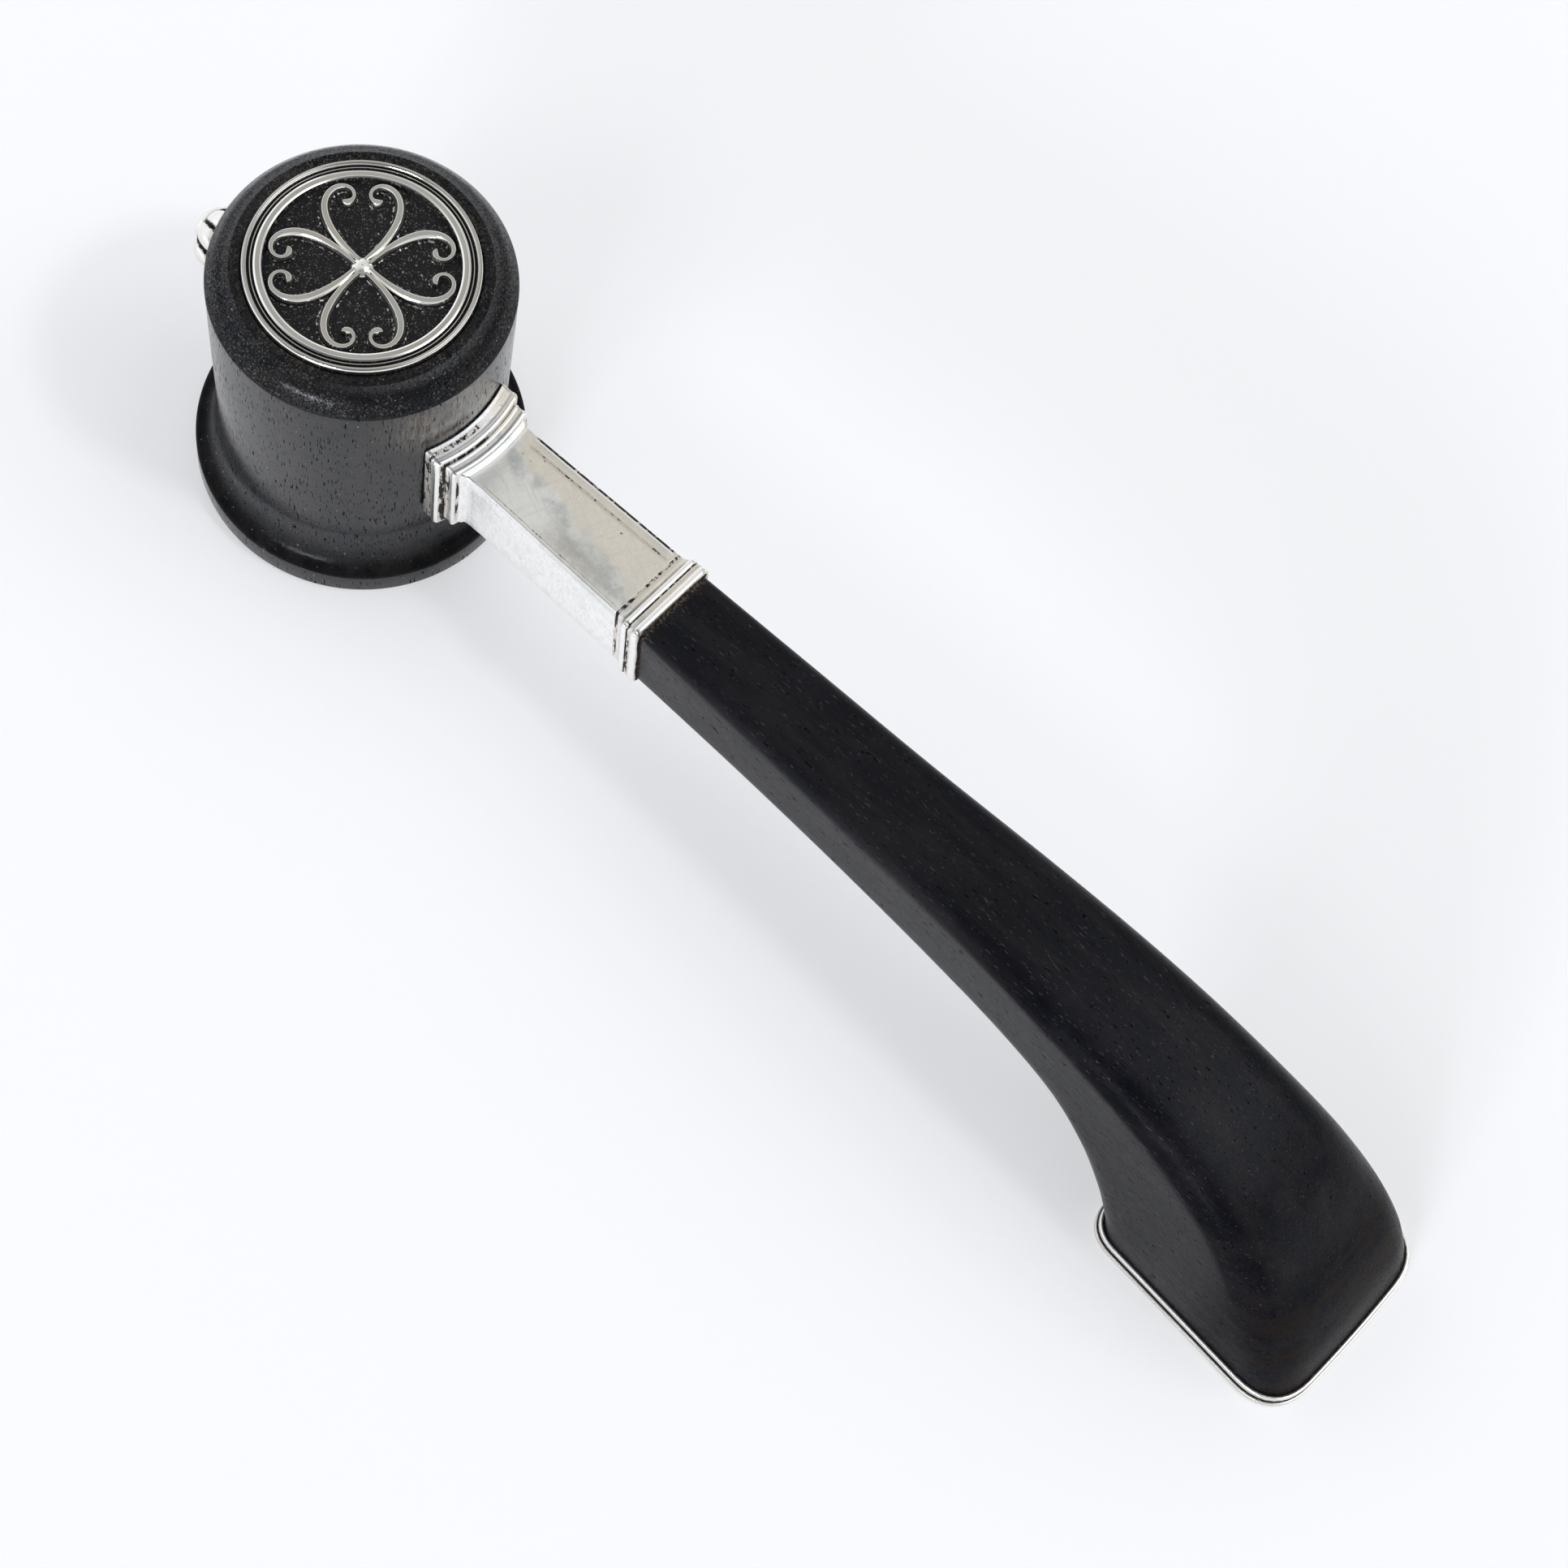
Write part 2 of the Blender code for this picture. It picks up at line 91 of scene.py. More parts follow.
def meshPiece(name, points, faces, dirt=None, sharpDegrees=28.0):
    mesh = bpy.data.meshes.new(name)
    mesh.from_pydata(points, [], faces)
    mesh.validate()
    if dirt is not None:
        attribute = mesh.attributes.new("dirt", "FLOAT", "POINT")
        attribute.data.foreach_set("value", dirt)
    bm = bmesh.new()
    bm.from_mesh(mesh)
    bmesh.ops.recalc_face_normals(bm, faces=bm.faces)
    bm.to_mesh(mesh)
    bm.free()
    mesh.shade_smooth()
    mesh.set_sharp_from_angle(angle=math.radians(sharpDegrees))
    piece = bpy.data.objects.new(name, mesh)
    bpy.context.scene.collection.objects.link(piece)
    return piece


def turnedPiece(name, outline, steps):
    # outline runs from the axis at the top, down the outer side, back to the axis: (radius, height, dirt)
    points, faces, dirt, rings = [], [], [], []
    turns = [2.0 * math.pi * i / steps for i in range(steps)]
    for radius, height, mark in outline:
        if radius < 1e-7:
            ring = [(0.0, 0.0, height)]
        else:
            ring = [(radius * math.cos(turn), radius * math.sin(turn), height) for turn in turns]
        rings.append(range(len(points), len(points) + len(ring)))
        points += ring
        dirt += [mark] * len(ring)
    for upper, lower in zip(rings, rings[1:]):
        for i in range(steps):
            j = (i + 1) % steps
            if len(upper) == 1:
                faces.append((upper[0], lower[i], lower[j]))
            elif len(lower) == 1:
                faces.append((upper[i], lower[0], upper[j]))
            else:
                faces.append((upper[i], lower[i], lower[j], upper[j]))
    return meshPiece(name, points, faces, dirt)


def sleeveFaces(start, ringCount, count):
    # faces between neighbouring rings of count points each; start is the number of the first point
    faces = []
    for a in range(start, start + (ringCount - 1) * count, count):
        for i in range(count):
            j = (i + 1) % count
            faces.append((a + i, a + j, a + count + j, a + count + i))
    return faces


def loftPiece(name, rings, dirt, sharpDegrees):
    # joins rings of equal counts and closes both ends with a fan round their middle; dirt holds
    # one value for each ring, or a list of values for its points
    count = len(rings[0])
    points = [tuple(point) for ring in rings for point in ring]
    marks = [value for mark in dirt for value in (mark if isinstance(mark, list) else [mark] * count)]
    faces = sleeveFaces(0, len(rings), count)
    for k in (0, len(rings) - 1):
        hub = len(points)
        points.append(tuple(sum((Vector(point) for point in rings[k]), Vector()) / count))
        marks.append(marks[k * count])
        faces += [(hub, k * count + i, k * count + (i + 1) % count) for i in range(count)]
    return meshPiece(name, points, faces, marks, sharpDegrees)


def bakedMesh(piece):
    # applies what is live on a piece and keeps the result as a plain mesh
    depsgraph = bpy.context.evaluated_depsgraph_get()
    mesh = bpy.data.meshes.new_from_object(piece.evaluated_get(depsgraph))
    piece.modifiers.clear()
    piece.data = mesh
    return piece


# shared helpers: materials
# a node's socket knows its own tree, so only addNode is handed one

def setInputs(node, inputs):
    for key, value in inputs.items():
        if isinstance(value, bpy.types.NodeSocket):
            node.id_data.links.new(value, node.inputs[key])
        else:
            node.inputs[key].default_value = value


def addNode(tree, kind, inputs=None, **settings):
    node = tree.nodes.new(kind)
    for key, value in settings.items():
        setattr(node, key, value)
    setInputs(node, inputs or {})
    return node


def startMaterial(name, inputs=None):
    material = bpy.data.materials.new(name)
    material.use_nodes = True
    shader = material.node_tree.nodes["Principled BSDF"]
    setInputs(shader, inputs or {})
    return material, shader


def noiseField(coords, scale, detail, roughness, turn=(0.0, 0.0, 0.0), shift=(0.0, 0.0, 0.0)):
    # scale is in patches per metre along each axis; turn and shift lay the pattern in place
    tree = coords.id_data
    placed = addNode(tree, "ShaderNodeMapping", {
        "Vector": coords, "Scale": tuple(1.0 / s for s in scale), "Rotation": turn, "Location": shift},
        vector_type="TEXTURE")
    return addNode(tree, "ShaderNodeTexNoise", {
        "Vector": placed.outputs[0], "Scale": 1.0, "Detail": detail, "Roughness": roughness}).outputs["Fac"]


def between(value, low, high, toLow=0.0, toHigh=1.0):
    # maps a value from low..high on to toLow..toHigh, softly and within those limits
    return addNode(value.id_data, "ShaderNodeMapRange", {
        "Value": value, "From Min": low, "From Max": high, "To Min": toLow, "To Max": toHigh},
        interpolation_type="SMOOTHSTEP").outputs[0]


def band(value, starts, full, fades, ends, share=1.0):
    # rises to share between starts and full, and falls again between fades and ends
    return times(between(value, starts, full), between(value, fades, ends, share, 0.0))


def maths(operation, a, b):
    tree = (a if isinstance(a, bpy.types.NodeSocket) else b).id_data
    return addNode(tree, "ShaderNodeMath", {0: a, 1: b}, operation=operation).outputs[0]


def times(value, *others):
    for other in others:
        value = maths("MULTIPLY", value, other)
    return value


def plus(value, *others):
    for other in others:
        value = maths("ADD", value, other)
    return value


def blendColours(share, under, over):
    colours = [value if isinstance(value, bpy.types.NodeSocket) else (*value, 1.0) for value in (under, over)]
    return addNode(share.id_data, "ShaderNodeMix", {"Factor": share, 6: colours[0], 7: colours[1]},
                   data_type="RGBA").outputs[2]


def raiseSurface(shader, layers):
    # chains bumps: each layer is (height, distance in metres, strength)
    inputs = {}
    for height, distance, strength in layers:
        inputs.update(Height=height, Distance=distance, Strength=strength)
        inputs["Normal"] = addNode(shader.id_data, "ShaderNodeBump", inputs).outputs[0]
    setInputs(shader, {"Normal": inputs["Normal"]})


def grainScale(axis, across, along):
    return tuple(along if letter == axis else across for letter in "xyz")


ebony = {
    "poreColour": (0.002, 0.002, 0.002),
    "dustColour": (0.30, 0.30, 0.29),
    "poreReach": 0.1 * mm,          # how far the bumps reach
    "fibreReach": 0.05 * mm,
    "cloudReach": 0.9 * mm,
}
silver = {
    "dentReach": 1.2 * mm,
    "scratchReach": 0.03 * mm,
    "grimeReach": 0.08 * mm,
    # two sets of hairlines: patches per metre along each axis, direction in degrees
    "hairlines": [((150.0, 2500.0, 500.0), 68.0), ((130.0, 2300.0, 500.0), -24.0)],
}


def ebonyMaterial(name, look, worn):
    # worn(coords, colour) gives the colour with its wear and painted light, and how far the shine is cut, 0
    # to 1, by wear and by painted shade
    material, shader = startMaterial(name, {"IOR": look["ior"], "Specular Tint": (*look["sheen"], 1.0)})
    coords = addNode(material.node_tree, "ShaderNodeTexCoord").outputs["Object"]
    axis = look["grain"]
    figure = noiseField(coords, grainScale(axis, 240.0, 30.0), 5.0, 0.65)
    fibre = noiseField(coords, grainScale(axis, 3400.0, 260.0), 3.0, 0.65)
    cloud = noiseField(coords, (70.0,) * 3, 5.0, 0.7)
    sunken = noiseField(coords, grainScale(axis, *look["pores"]), 1.5, 0.5)
    pores = between(sunken, look["poreFrom"], look["poreFrom"] + 0.04)
    filled = noiseField(coords, grainScale(axis, *look["chalk"]), 1.5, 0.5, shift=(0.3, 0.5, 0.7))
    chalk = between(filled, look["chalkFrom"], look["chalkFrom"] + 0.06)
    dust = between(noiseField(coords, (1900.0,) * 3, 1.0, 0.5), 0.745, 0.785)
    base = blendColours(between(figure, 0.38, 0.66), look["dark"], look["brown"])
    base = blendColours(between(cloud, 0.5, 0.72, 0.0, look["rubbedShare"]), base, look["rubbed"])
    base = blendColours(between(fibre, 0.45, 0.8, 0.0, 0.5), base, look["brown"])
    base = blendColours(times(chalk, look["chalkShare"]), base, look["chalkColour"])
    base, dull = worn(coords, base)
    base = blendColours(times(pores, 0.95), base, ebony["poreColour"])
    base = blendColours(times(dust, look["dustShare"]), base, ebony["dustColour"])
    rough = plus(between(cloud, 0.3, 0.7, *look["roughness"]), between(fibre, 0.3, 0.7, -0.05, 0.07),
                 times(pores, 0.4))
    shine = between(plus(pores, times(chalk, 0.3)), 0.0, 1.0, 0.5, 0.06)
    shine = times(shine, maths("SUBTRACT", 1.0, dull))
    setInputs(shader, {"Base Color": base, "Roughness": rough, "Specular IOR Level": shine})
    raiseSurface(shader, [(maths("SUBTRACT", 1.0, pores), ebony["poreReach"], look["poreDepth"]),
                          (fibre, ebony["fibreReach"], look["fibreDepth"]),
                          (cloud, ebony["cloudReach"], look["unevenness"])])
    return material


def silverMaterial(name, look, worn=None):
    # the dirt attribute is 1 where grime is packed, 0 on plain silver and -1 on edges rubbed bright, partly
    # real polish and partly a painted highlight
    material, shader = startMaterial(name)
    coords = addNode(material.node_tree, "ShaderNodeTexCoord").outputs["Object"]
    crevice = addNode(material.node_tree, "ShaderNodeAttribute", attribute_name="dirt").outputs["Fac"]
    cloud = noiseField(coords, (38.0,) * 3, 5.0, 0.6)
    patch = noiseField(coords, (90.0, 170.0, 90.0), 6.0, 0.65, shift=(0.4, 0.17, 0.2))
    mottle = noiseField(coords, (900.0,) * 3, 4.0, 0.7)
    grain = noiseField(coords, (3600.0,) * 3, 2.0, 0.7)
    streak = noiseField(coords, (1300.0, 1300.0, 260.0), 3.0, 0.7)
    hairlines = maths("MAXIMUM", *(
        noiseField(coords, scale, 2.0, 0.6, turn=(0.0, 0.0, math.radians(direction)))
        for scale, direction in silver["hairlines"]))
    pits = noiseField(coords, (1300.0,) * 3, 1.0, 0.5)
    pits = between(pits, look["pitFrom"], look["pitFrom"] + 0.04, 0.0, look["pitShare"])
    colour = blendColours(between(cloud, 0.38, 0.66), look["plain"], look["warm"])
    # on the socket, worn adds painted shade and painted reflections to the top as well as tarnish
    if worn is not None:
        colour = worn(coords, colour)
    for field, low, high, share, tint in ((patch, 0.44, 0.62, look["greyShare"], "grey"),
                                          (hairlines, 0.5, 0.66, look["scratchShare"], "grey"),
                                          (mottle, 0.4, 0.75, 0.25, "warm"),
                                          (crevice, 0.02, 0.25, 0.55, "stain")):
        colour = blendColours(between(field, low, high, 0.0, share), colour, look[tint])
    # edges rubbed bright: partly real polish, partly a painted highlight
    rubbed = between(crevice, -0.75, -0.15, 1.0, 0.0)
    # up to 0.25 the attribute only stains; grime lies in ragged scraps from there, solid from 0.7
    ragged = times(maths("SUBTRACT", streak, 0.5), between(crevice, 0.24, 0.4, 0.0, 2.6))
    grime = between(plus(crevice, ragged), 0.42, 0.62)
    bare = between(times(grain, between(mottle, 0.35, 0.6, 0.8, 1.15)),
                   look["bareFrom"], look["bareFrom"] + 0.1, 0.0, look["bareShare"])
    bare = times(bare, between(crevice, 1.05, 1.2, 1.0, 0.0))
    grime = maths("MAXIMUM", times(grime, maths("SUBTRACT", 1.0, bare)), pits)
    colour = blendColours(rubbed, colour, look["rubbed"])
    colour = blendColours(grime, colour, look["grime"])
    metal = times(maths("MAXIMUM", rubbed, look["metal"]), between(grime, 0.0, 1.0, 1.0, 0.1))
    rough = plus(between(patch, 0.35, 0.68, *look["roughness"]), between(crevice, 0.1, 0.7, 0.0, 0.15),
                 times(grime, 0.35))
    setInputs(shader, {"Base Color": colour, "Metallic": metal, "Roughness": rough,
                       "Specular IOR Level": between(grime, 0.0, 1.0, 0.5, 0.25)})
    raiseSurface(shader, [(cloud, silver["dentReach"], look["dents"]),
                          (hairlines, silver["scratchReach"], look["scratches"]),
                          (maths("SUBTRACT", 1.0, grime), silver["grimeReach"], 0.5)])
    return material


print("helpers ready")

# head: turned ebony

head = {
    "rimRadius": 25.0 * mm,
    "rimHeight": 57.0 * mm,
    "height": 61.3 * mm,
    "crownRadius": 21.0 * mm,
    "shoulderRadius": 23.35 * mm,   # a point half way down the shoulder
    "shoulderHeight": 59.5 * mm,
    "recessRadius": 19.25 * mm,
    "recessDepth": 0.75 * mm,
    "sideTop": 50.0 * mm,           # from here down to the cove the side bends in
    "sideBend": 1.2,
    "sideSteps": 12,
    "waistRadius": 24.1 * mm,
    "coveTop": 13.5 * mm,
    "footRadius": 28.4 * mm,
    "footEdge": 4.9 * mm,
    "coveArc": (184.0, 262.0),      # degrees
    "steps": 220,
}
headLook = {
    "grain": "z", "dark": (0.0045, 0.0050, 0.0062), "brown": (0.012, 0.0108, 0.0104),
    "rubbed": (0.024, 0.0225, 0.022), "rubbedShare": 0.6, "pores": (4000.0, 430.0), "poreFrom": 0.645,
    "chalk": (2200.0, 620.0), "chalkFrom": 0.70, "chalkShare": 0.45, "chalkColour": (0.10, 0.10, 0.10),
    "dustShare": 0.6, "roughness": (0.13, 0.23), "ior": 1.32, "sheen": (0.95, 0.97, 1.0), "poreDepth": 0.8,
    "fibreDepth": 0.6, "unevenness": 0.16,
}
headWearAndLight = {
    "shoulderFrom": 57.1 * mm,
    "shoulderColour": (0.072, 0.071, 0.07),
    "shoulderDullness": 0.75,
    # a pale ring on the upper edge of the shoulder, measured down from the crown
    "edgeDepths": (1.3 * mm, 0.25 * mm, 0.12 * mm, 0.02 * mm),
    "edgeFront": (-20.0 * mm, -11.0 * mm),   # it fades towards the front
    "edgeColour": (0.055, 0.055, 0.055),
    "grimeRadius": 20.3 * mm,
    "grimeDepths": (1.0 * mm, 0.1 * mm),
    "grimeColour": (0.075, 0.05, 0.033),
    "socketReflectionPlace": (24.0 * mm, -6.0 * mm, 52.0 * mm),   # painted reflection of the silver socket: a streaked tan patch on the wood over it
    "socketReflectionSize": 13.5 * mm,
    "socketReflectionEnd": (56.7 * mm, 57.1 * mm),
    "socketReflectionColour": (0.12, 0.1, 0.079),
    # the drum side is lighter low down, between these heights
    "lowBandHeights": (7.0 * mm, 10.0 * mm, 13.0 * mm, 22.0 * mm),
    "lowBandShare": 0.35,
    "lowBandColour": (0.05, 0.051, 0.055),
    # painted shade: the shine is cut in the cove
    "coveHeights": (4.9 * mm, 5.0 * mm, 5.5 * mm, 7.5 * mm),
    "coveShadeDullness": 0.85,
}


def paintHeadWearAndLight(coords, base):
    # pale rubbing speckles the shoulder and its upper edge, brown grime lies round the medallion,
    # a painted reflection of the silver socket lies on the wood over it, the drum side is lighter
    # low down, and the shine is cut in the cove as painted shade
    tree = coords.id_data
    parts = addNode(tree, "ShaderNodeSeparateXYZ", {"Vector": coords}).outputs
    height, crown = parts["Z"], head["height"]
    fine = noiseField(coords, (2700.0,) * 3, 2.0, 0.7)
    broad = noiseField(coords, (190.0,) * 3, 3.0, 0.6)
    shoulder = between(height, headWearAndLight["shoulderFrom"], headWearAndLight["shoulderFrom"] + 0.4 * mm)
    speckle = times(shoulder, between(fine, 0.55, 0.68), between(broad, 0.33, 0.6))
    base = blendColours(speckle, base, headWearAndLight["shoulderColour"])
    edge = times(band(height, *(crown - depth for depth in headWearAndLight["edgeDepths"])),
                 between(fine, 0.35, 0.65, 0.3, 0.9),
                 between(parts["Y"], *headWearAndLight["edgeFront"], 0.2, 1.0))
    base = blendColours(edge, base, headWearAndLight["edgeColour"])
    flat = addNode(tree, "ShaderNodeCombineXYZ", {"X": parts["X"], "Y": parts["Y"]})
    radius = addNode(tree, "ShaderNodeVectorMath", {0: flat.outputs[0]}, operation="LENGTH").outputs["Value"]
    grime = times(between(radius, head["recessRadius"], headWearAndLight["grimeRadius"], 1.0, 0.0),
                  between(height, *(crown - depth for depth in headWearAndLight["grimeDepths"])),
                  between(broad, 0.42, 0.62), between(fine, 0.4, 0.65))
    base = blendColours(grime, base, headWearAndLight["grimeColour"])
    # painted reflection of the silver socket on the wood over it
    gap = addNode(tree, "ShaderNodeVectorMath", {0: coords, 1: headWearAndLight["socketReflectionPlace"]}, operation="DISTANCE")
    size = headWearAndLight["socketReflectionSize"]
    streaks = noiseField(coords, grainScale("z", 900.0, 110.0), 4.0, 0.7)
    cracks = noiseField(coords, grainScale("z", 2100.0, 300.0), 2.0, 0.6, shift=(0.1, 0.2, 0.3))
    socketReflection = times(between(gap.outputs["Value"], 0.3 * size, size, 1.0, 0.0),
                  between(streaks, 0.36, 0.62, 0.15, 0.85), between(cracks, 0.53, 0.6, 1.0, 0.15),
                  between(height, *headWearAndLight["socketReflectionEnd"], 1.0, 0.0))
    base = blendColours(socketReflection, base, headWearAndLight["socketReflectionColour"])
    # the drum side is lighter low down
    lowBand = band(height, *headWearAndLight["lowBandHeights"], headWearAndLight["lowBandShare"])
    base = blendColours(lowBand, base, headWearAndLight["lowBandColour"])
    # painted shade: the shine is cut in the cove
    cove = band(height, *headWearAndLight["coveHeights"], headWearAndLight["coveShadeDullness"])
    worn = times(shoulder, between(fine, 0.42, 0.56, headWearAndLight["shoulderDullness"], 0.0))
    return base, maths("MAXIMUM", cove, worn)


def drumRadius(height):
    share = (head["rimHeight"] - height) / (head["rimHeight"] - head["coveTop"])
    return head["rimRadius"] - (head["rimRadius"] - head["waistRadius"]) * share ** head["sideBend"]


def headOutline():
    crown, recess, sideTop, coveTop = (head[key] for key in ("height", "recessRadius", "sideTop", "coveTop"))
    top = [
        (0.0, crown - head["recessDepth"], 0.0, 0.0),
        (recess, crown - head["recessDepth"], 0.0, 0.0),
        (recess, crown, 0.2 * mm, 0.0),
        (head["crownRadius"], crown, 0.4 * mm, 0.0),
        (head["shoulderRadius"], head["shoulderHeight"], 5.0 * mm, 0.0),
        (head["rimRadius"], head["rimHeight"], 0.3 * mm, 0.0),
        (drumRadius(sideTop), sideTop, 0.0, 0.0),
    ]
    shares = [1.0 - i / head["sideSteps"] for i in range(1, head["sideSteps"] + 1)]
    heights = [coveTop + (sideTop - coveTop) * share for share in shares]
    coveSize = (head["footRadius"] - head["waistRadius"], coveTop - head["footEdge"])
    cove = arcPoints((head["footRadius"], coveTop), coveSize, *head["coveArc"], 16)
    foot = [
        (*cove[-1], 0.0, 0.0),
        (head["footRadius"], head["footEdge"], 0.25 * mm, 0.0),
        (head["footRadius"], 0.0, 0.7 * mm, 0.0),
        (0.0, 0.0, 0.0, 0.0),
    ]
    return (roundedOutline(top, 7, 1.5 * mm) + [(drumRadius(height), height, 0.0) for height in heights]
            + [(*point, 0.0) for point in cove[:-1]] + roundedOutline(foot, 5))


headWood = turnedPiece("headWood", headOutline(), head["steps"])
headWood.data.materials.append(ebonyMaterial("head ebony, waxed, with painted reflection and shade", headLook, paintHeadWearAndLight))
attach(headWood, "root")
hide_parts("head_drum")
print("head turned")

# medallion: struck silver plaque with a rosette of scrolled hearts

plaque = {
    "radius": 19.1 * mm,
    "groundRadius": 15.85 * mm,
    "groundHeight": 60.9 * mm,
    "bandWidth": 1.35 * mm,     # the inner flat-topped band
    "bandTop": 62.25 * mm,
    "grooveFloor": 61.6 * mm,
    "ridgeTop": 62.05 * mm,     # the thin line between the two grooves
    "beadWidth": 0.95 * mm,     # the outer round bead
    "beadHeight": 0.62 * mm,
    "beadTop": 62.35 * mm,
    "back": 60.6 * mm,
    "steps": 256,
}
scroll = {
    "count": 4,
    "turn": math.radians(45.0),
    "start": Vector((1.2 * mm, 0.5 * mm)),
    "heading": math.radians(48.0),
    "length": 22.0 * mm,
    "firstBend": -40.0,         # radians per metre
    "lastBend": -1000.0,
    "bendPower": 3.0,
    "steps": 64,
    "widest": 1.55 * mm,
    "thinnest": 0.75 * mm,
    "swellEnd": 0.86,           # shares of the length
    "tipWidth": 1.4 * mm,       # the curl ends in a small drop
    "tipPlace": 0.955,
    "tipLength": 0.035,
    "roundFrom": 0.965,
    "top": 61.95 * mm,
    "foot": 60.6 * mm,
    # half of a stroke's section: share of its half width, share of its height, dirt. A dusty skirt
    # on the ground, sooty steep sides, bevels rubbed bright (partly a painted highlight) and a plain top
    "section": [(1.9, 0.18, 0.85), (1.4, 0.26, 0.64), (1.14, 0.34, 0.9), (1.06, 0.62, 0.9),
                (1.0, 0.74, -1.0), (0.62, 1.0, -1.0), (0.4, 1.0, 0.0)],
    "bossRadius": 1.9 * mm,
    "bossRise": 0.1 * mm,       # above the strokes
}
plaqueLook = {
    "plain": (0.50, 0.495, 0.46), "warm": (0.455, 0.43, 0.375), "grey": (0.39, 0.395, 0.39), "greyShare": 0.3,
    "rubbed": (1.0, 0.995, 0.96), "stain": (0.46, 0.45, 0.42), "grime": (0.0065, 0.0062, 0.006),
    "metal": 0.85, "roughness": (0.09, 0.18), "dents": 0.06, "scratches": 0.15, "scratchShare": 0.15,
    "pitFrom": 0.76, "pitShare": 0.5, "bareFrom": 0.66, "bareShare": 0.35,
}


def plaqueOutline():
    ground, floor = plaque["groundHeight"], plaque["grooveFloor"]
    flat, ridge = plaque["bandTop"], plaque["ridgeTop"]
    bandIn = plaque["groundRadius"]
    bandOut = bandIn + plaque["bandWidth"]
    beadIn = plaque["radius"] - plaque["beadWidth"]
    line = (bandOut + beadIn) / 2.0
    corners = [
        (0.0, ground, 0.0, 1.0),
        (bandIn - 0.4 * mm, ground, 0.25 * mm, 1.0),
        (bandIn - 0.03 * mm, flat - 0.3 * mm, 0.1 * mm, 0.7),
        (bandIn, flat - 0.12 * mm, 0.0, -1.0),
        (bandIn + 0.2 * mm, flat, 0.05 * mm, -1.0),
        (bandIn + 0.36 * mm, flat, 0.0, 0.0),
        (bandOut - 0.44 * mm, flat - 0.02 * mm, 0.0, 0.0),
        (bandOut - 0.28 * mm, flat, 0.05 * mm, -1.0),
        (bandOut - 0.04 * mm, flat - 0.15 * mm, 0.0, -1.0),
        (bandOut, flat - 0.25 * mm, 0.0, 0.8),
        (bandOut + 0.1 * mm, floor, 0.04 * mm, 1.3),
        (line - 0.14 * mm, floor, 0.04 * mm, 1.3),
        (line - 0.07 * mm, ridge, 0.03 * mm, 0.0),
        (line + 0.07 * mm, ridge, 0.03 * mm, 0.0),
        (line + 0.14 * mm, floor, 0.04 * mm, 1.3),
        (beadIn - 0.05 * mm, floor, 0.04 * mm, 1.3),
    ]
    outline = roundedOutline(corners, 4, 0.5 * mm)
    halfWidth, rise = plaque["beadWidth"] / 2.0, plaque["beadHeight"]
    middle, foot = (beadIn + plaque["radius"]) / 2.0, plaque["beadTop"] - rise
    for u, v in arcPoints((middle, foot), (halfWidth, rise), 180.0, 0.0, 20):
        lift, off = (v - foot) / rise, abs(u - middle) / halfWidth
        # the sides of the bead are rubbed bright, partly a painted highlight
        rubbed = smoothStep(0.5, 0.75, off) * smoothStep(0.3, 0.6, lift)
        outline.append((u, v, 1.0 - smoothStep(0.1, 0.4, lift) - rubbed))
    return outline + [(plaque["radius"], plaque["back"], 1.0), (0.0, plaque["back"], 1.0)]


def scrollPath():
    # one side of a heart: almost straight from the boss, then ever tighter into its curl
    heading = scroll["heading"]
    step = scroll["length"] / scroll["steps"]
    points = [scroll["start"]]
    for i in range(scroll["steps"]):
        share = (i + 0.5) / scroll["steps"]
        bend = (scroll["lastBend"] - scroll["firstBend"]) * share ** scroll["bendPower"]
        heading += step * (scroll["firstBend"] + bend)
        points.append(points[-1] + Vector((math.cos(heading), math.sin(heading))) * step)
    return points


def scrollHalfWidth(share):
    swell = math.sin(math.pi * min(share / scroll["swellEnd"], 1.0)) ** 1.2
    drop = math.exp(-((share - scroll["tipPlace"]) / scroll["tipLength"]) ** 2)
    thin = scroll["thinnest"]
    width = thin + (scroll["widest"] - thin) * swell + (scroll["tipWidth"] - thin) * drop
    past = max(share - scroll["roundFrom"], 0.0) / (1.0 - scroll["roundFrom"])
    return width * math.sqrt(max(0.02, 1.0 - past ** 2)) / 2.0


def strokeRings(flip):
    # a stroke along the path, mirrored where flip is -1
    shape = [(-side, lift, mark) for side, lift, mark in scroll["section"]] + scroll["section"][::-1]
    path = scrollPath()
    last = scroll["steps"]
    rings = []
    for i, point in enumerate(path):
        along = (path[min(i + 1, last)] - path[max(i - 1, 0)]).normalized()
        across = Vector((-along.y, along.x)) * scrollHalfWidth(i / last)
        ring = []
        for side, lift, mark in shape:
            spot = point + across * side
            height = scroll["foot"] + (scroll["top"] - scroll["foot"]) * lift
            ring.append((spot.x, spot.y * flip, height, mark))
        rings.append(ring)
    return rings


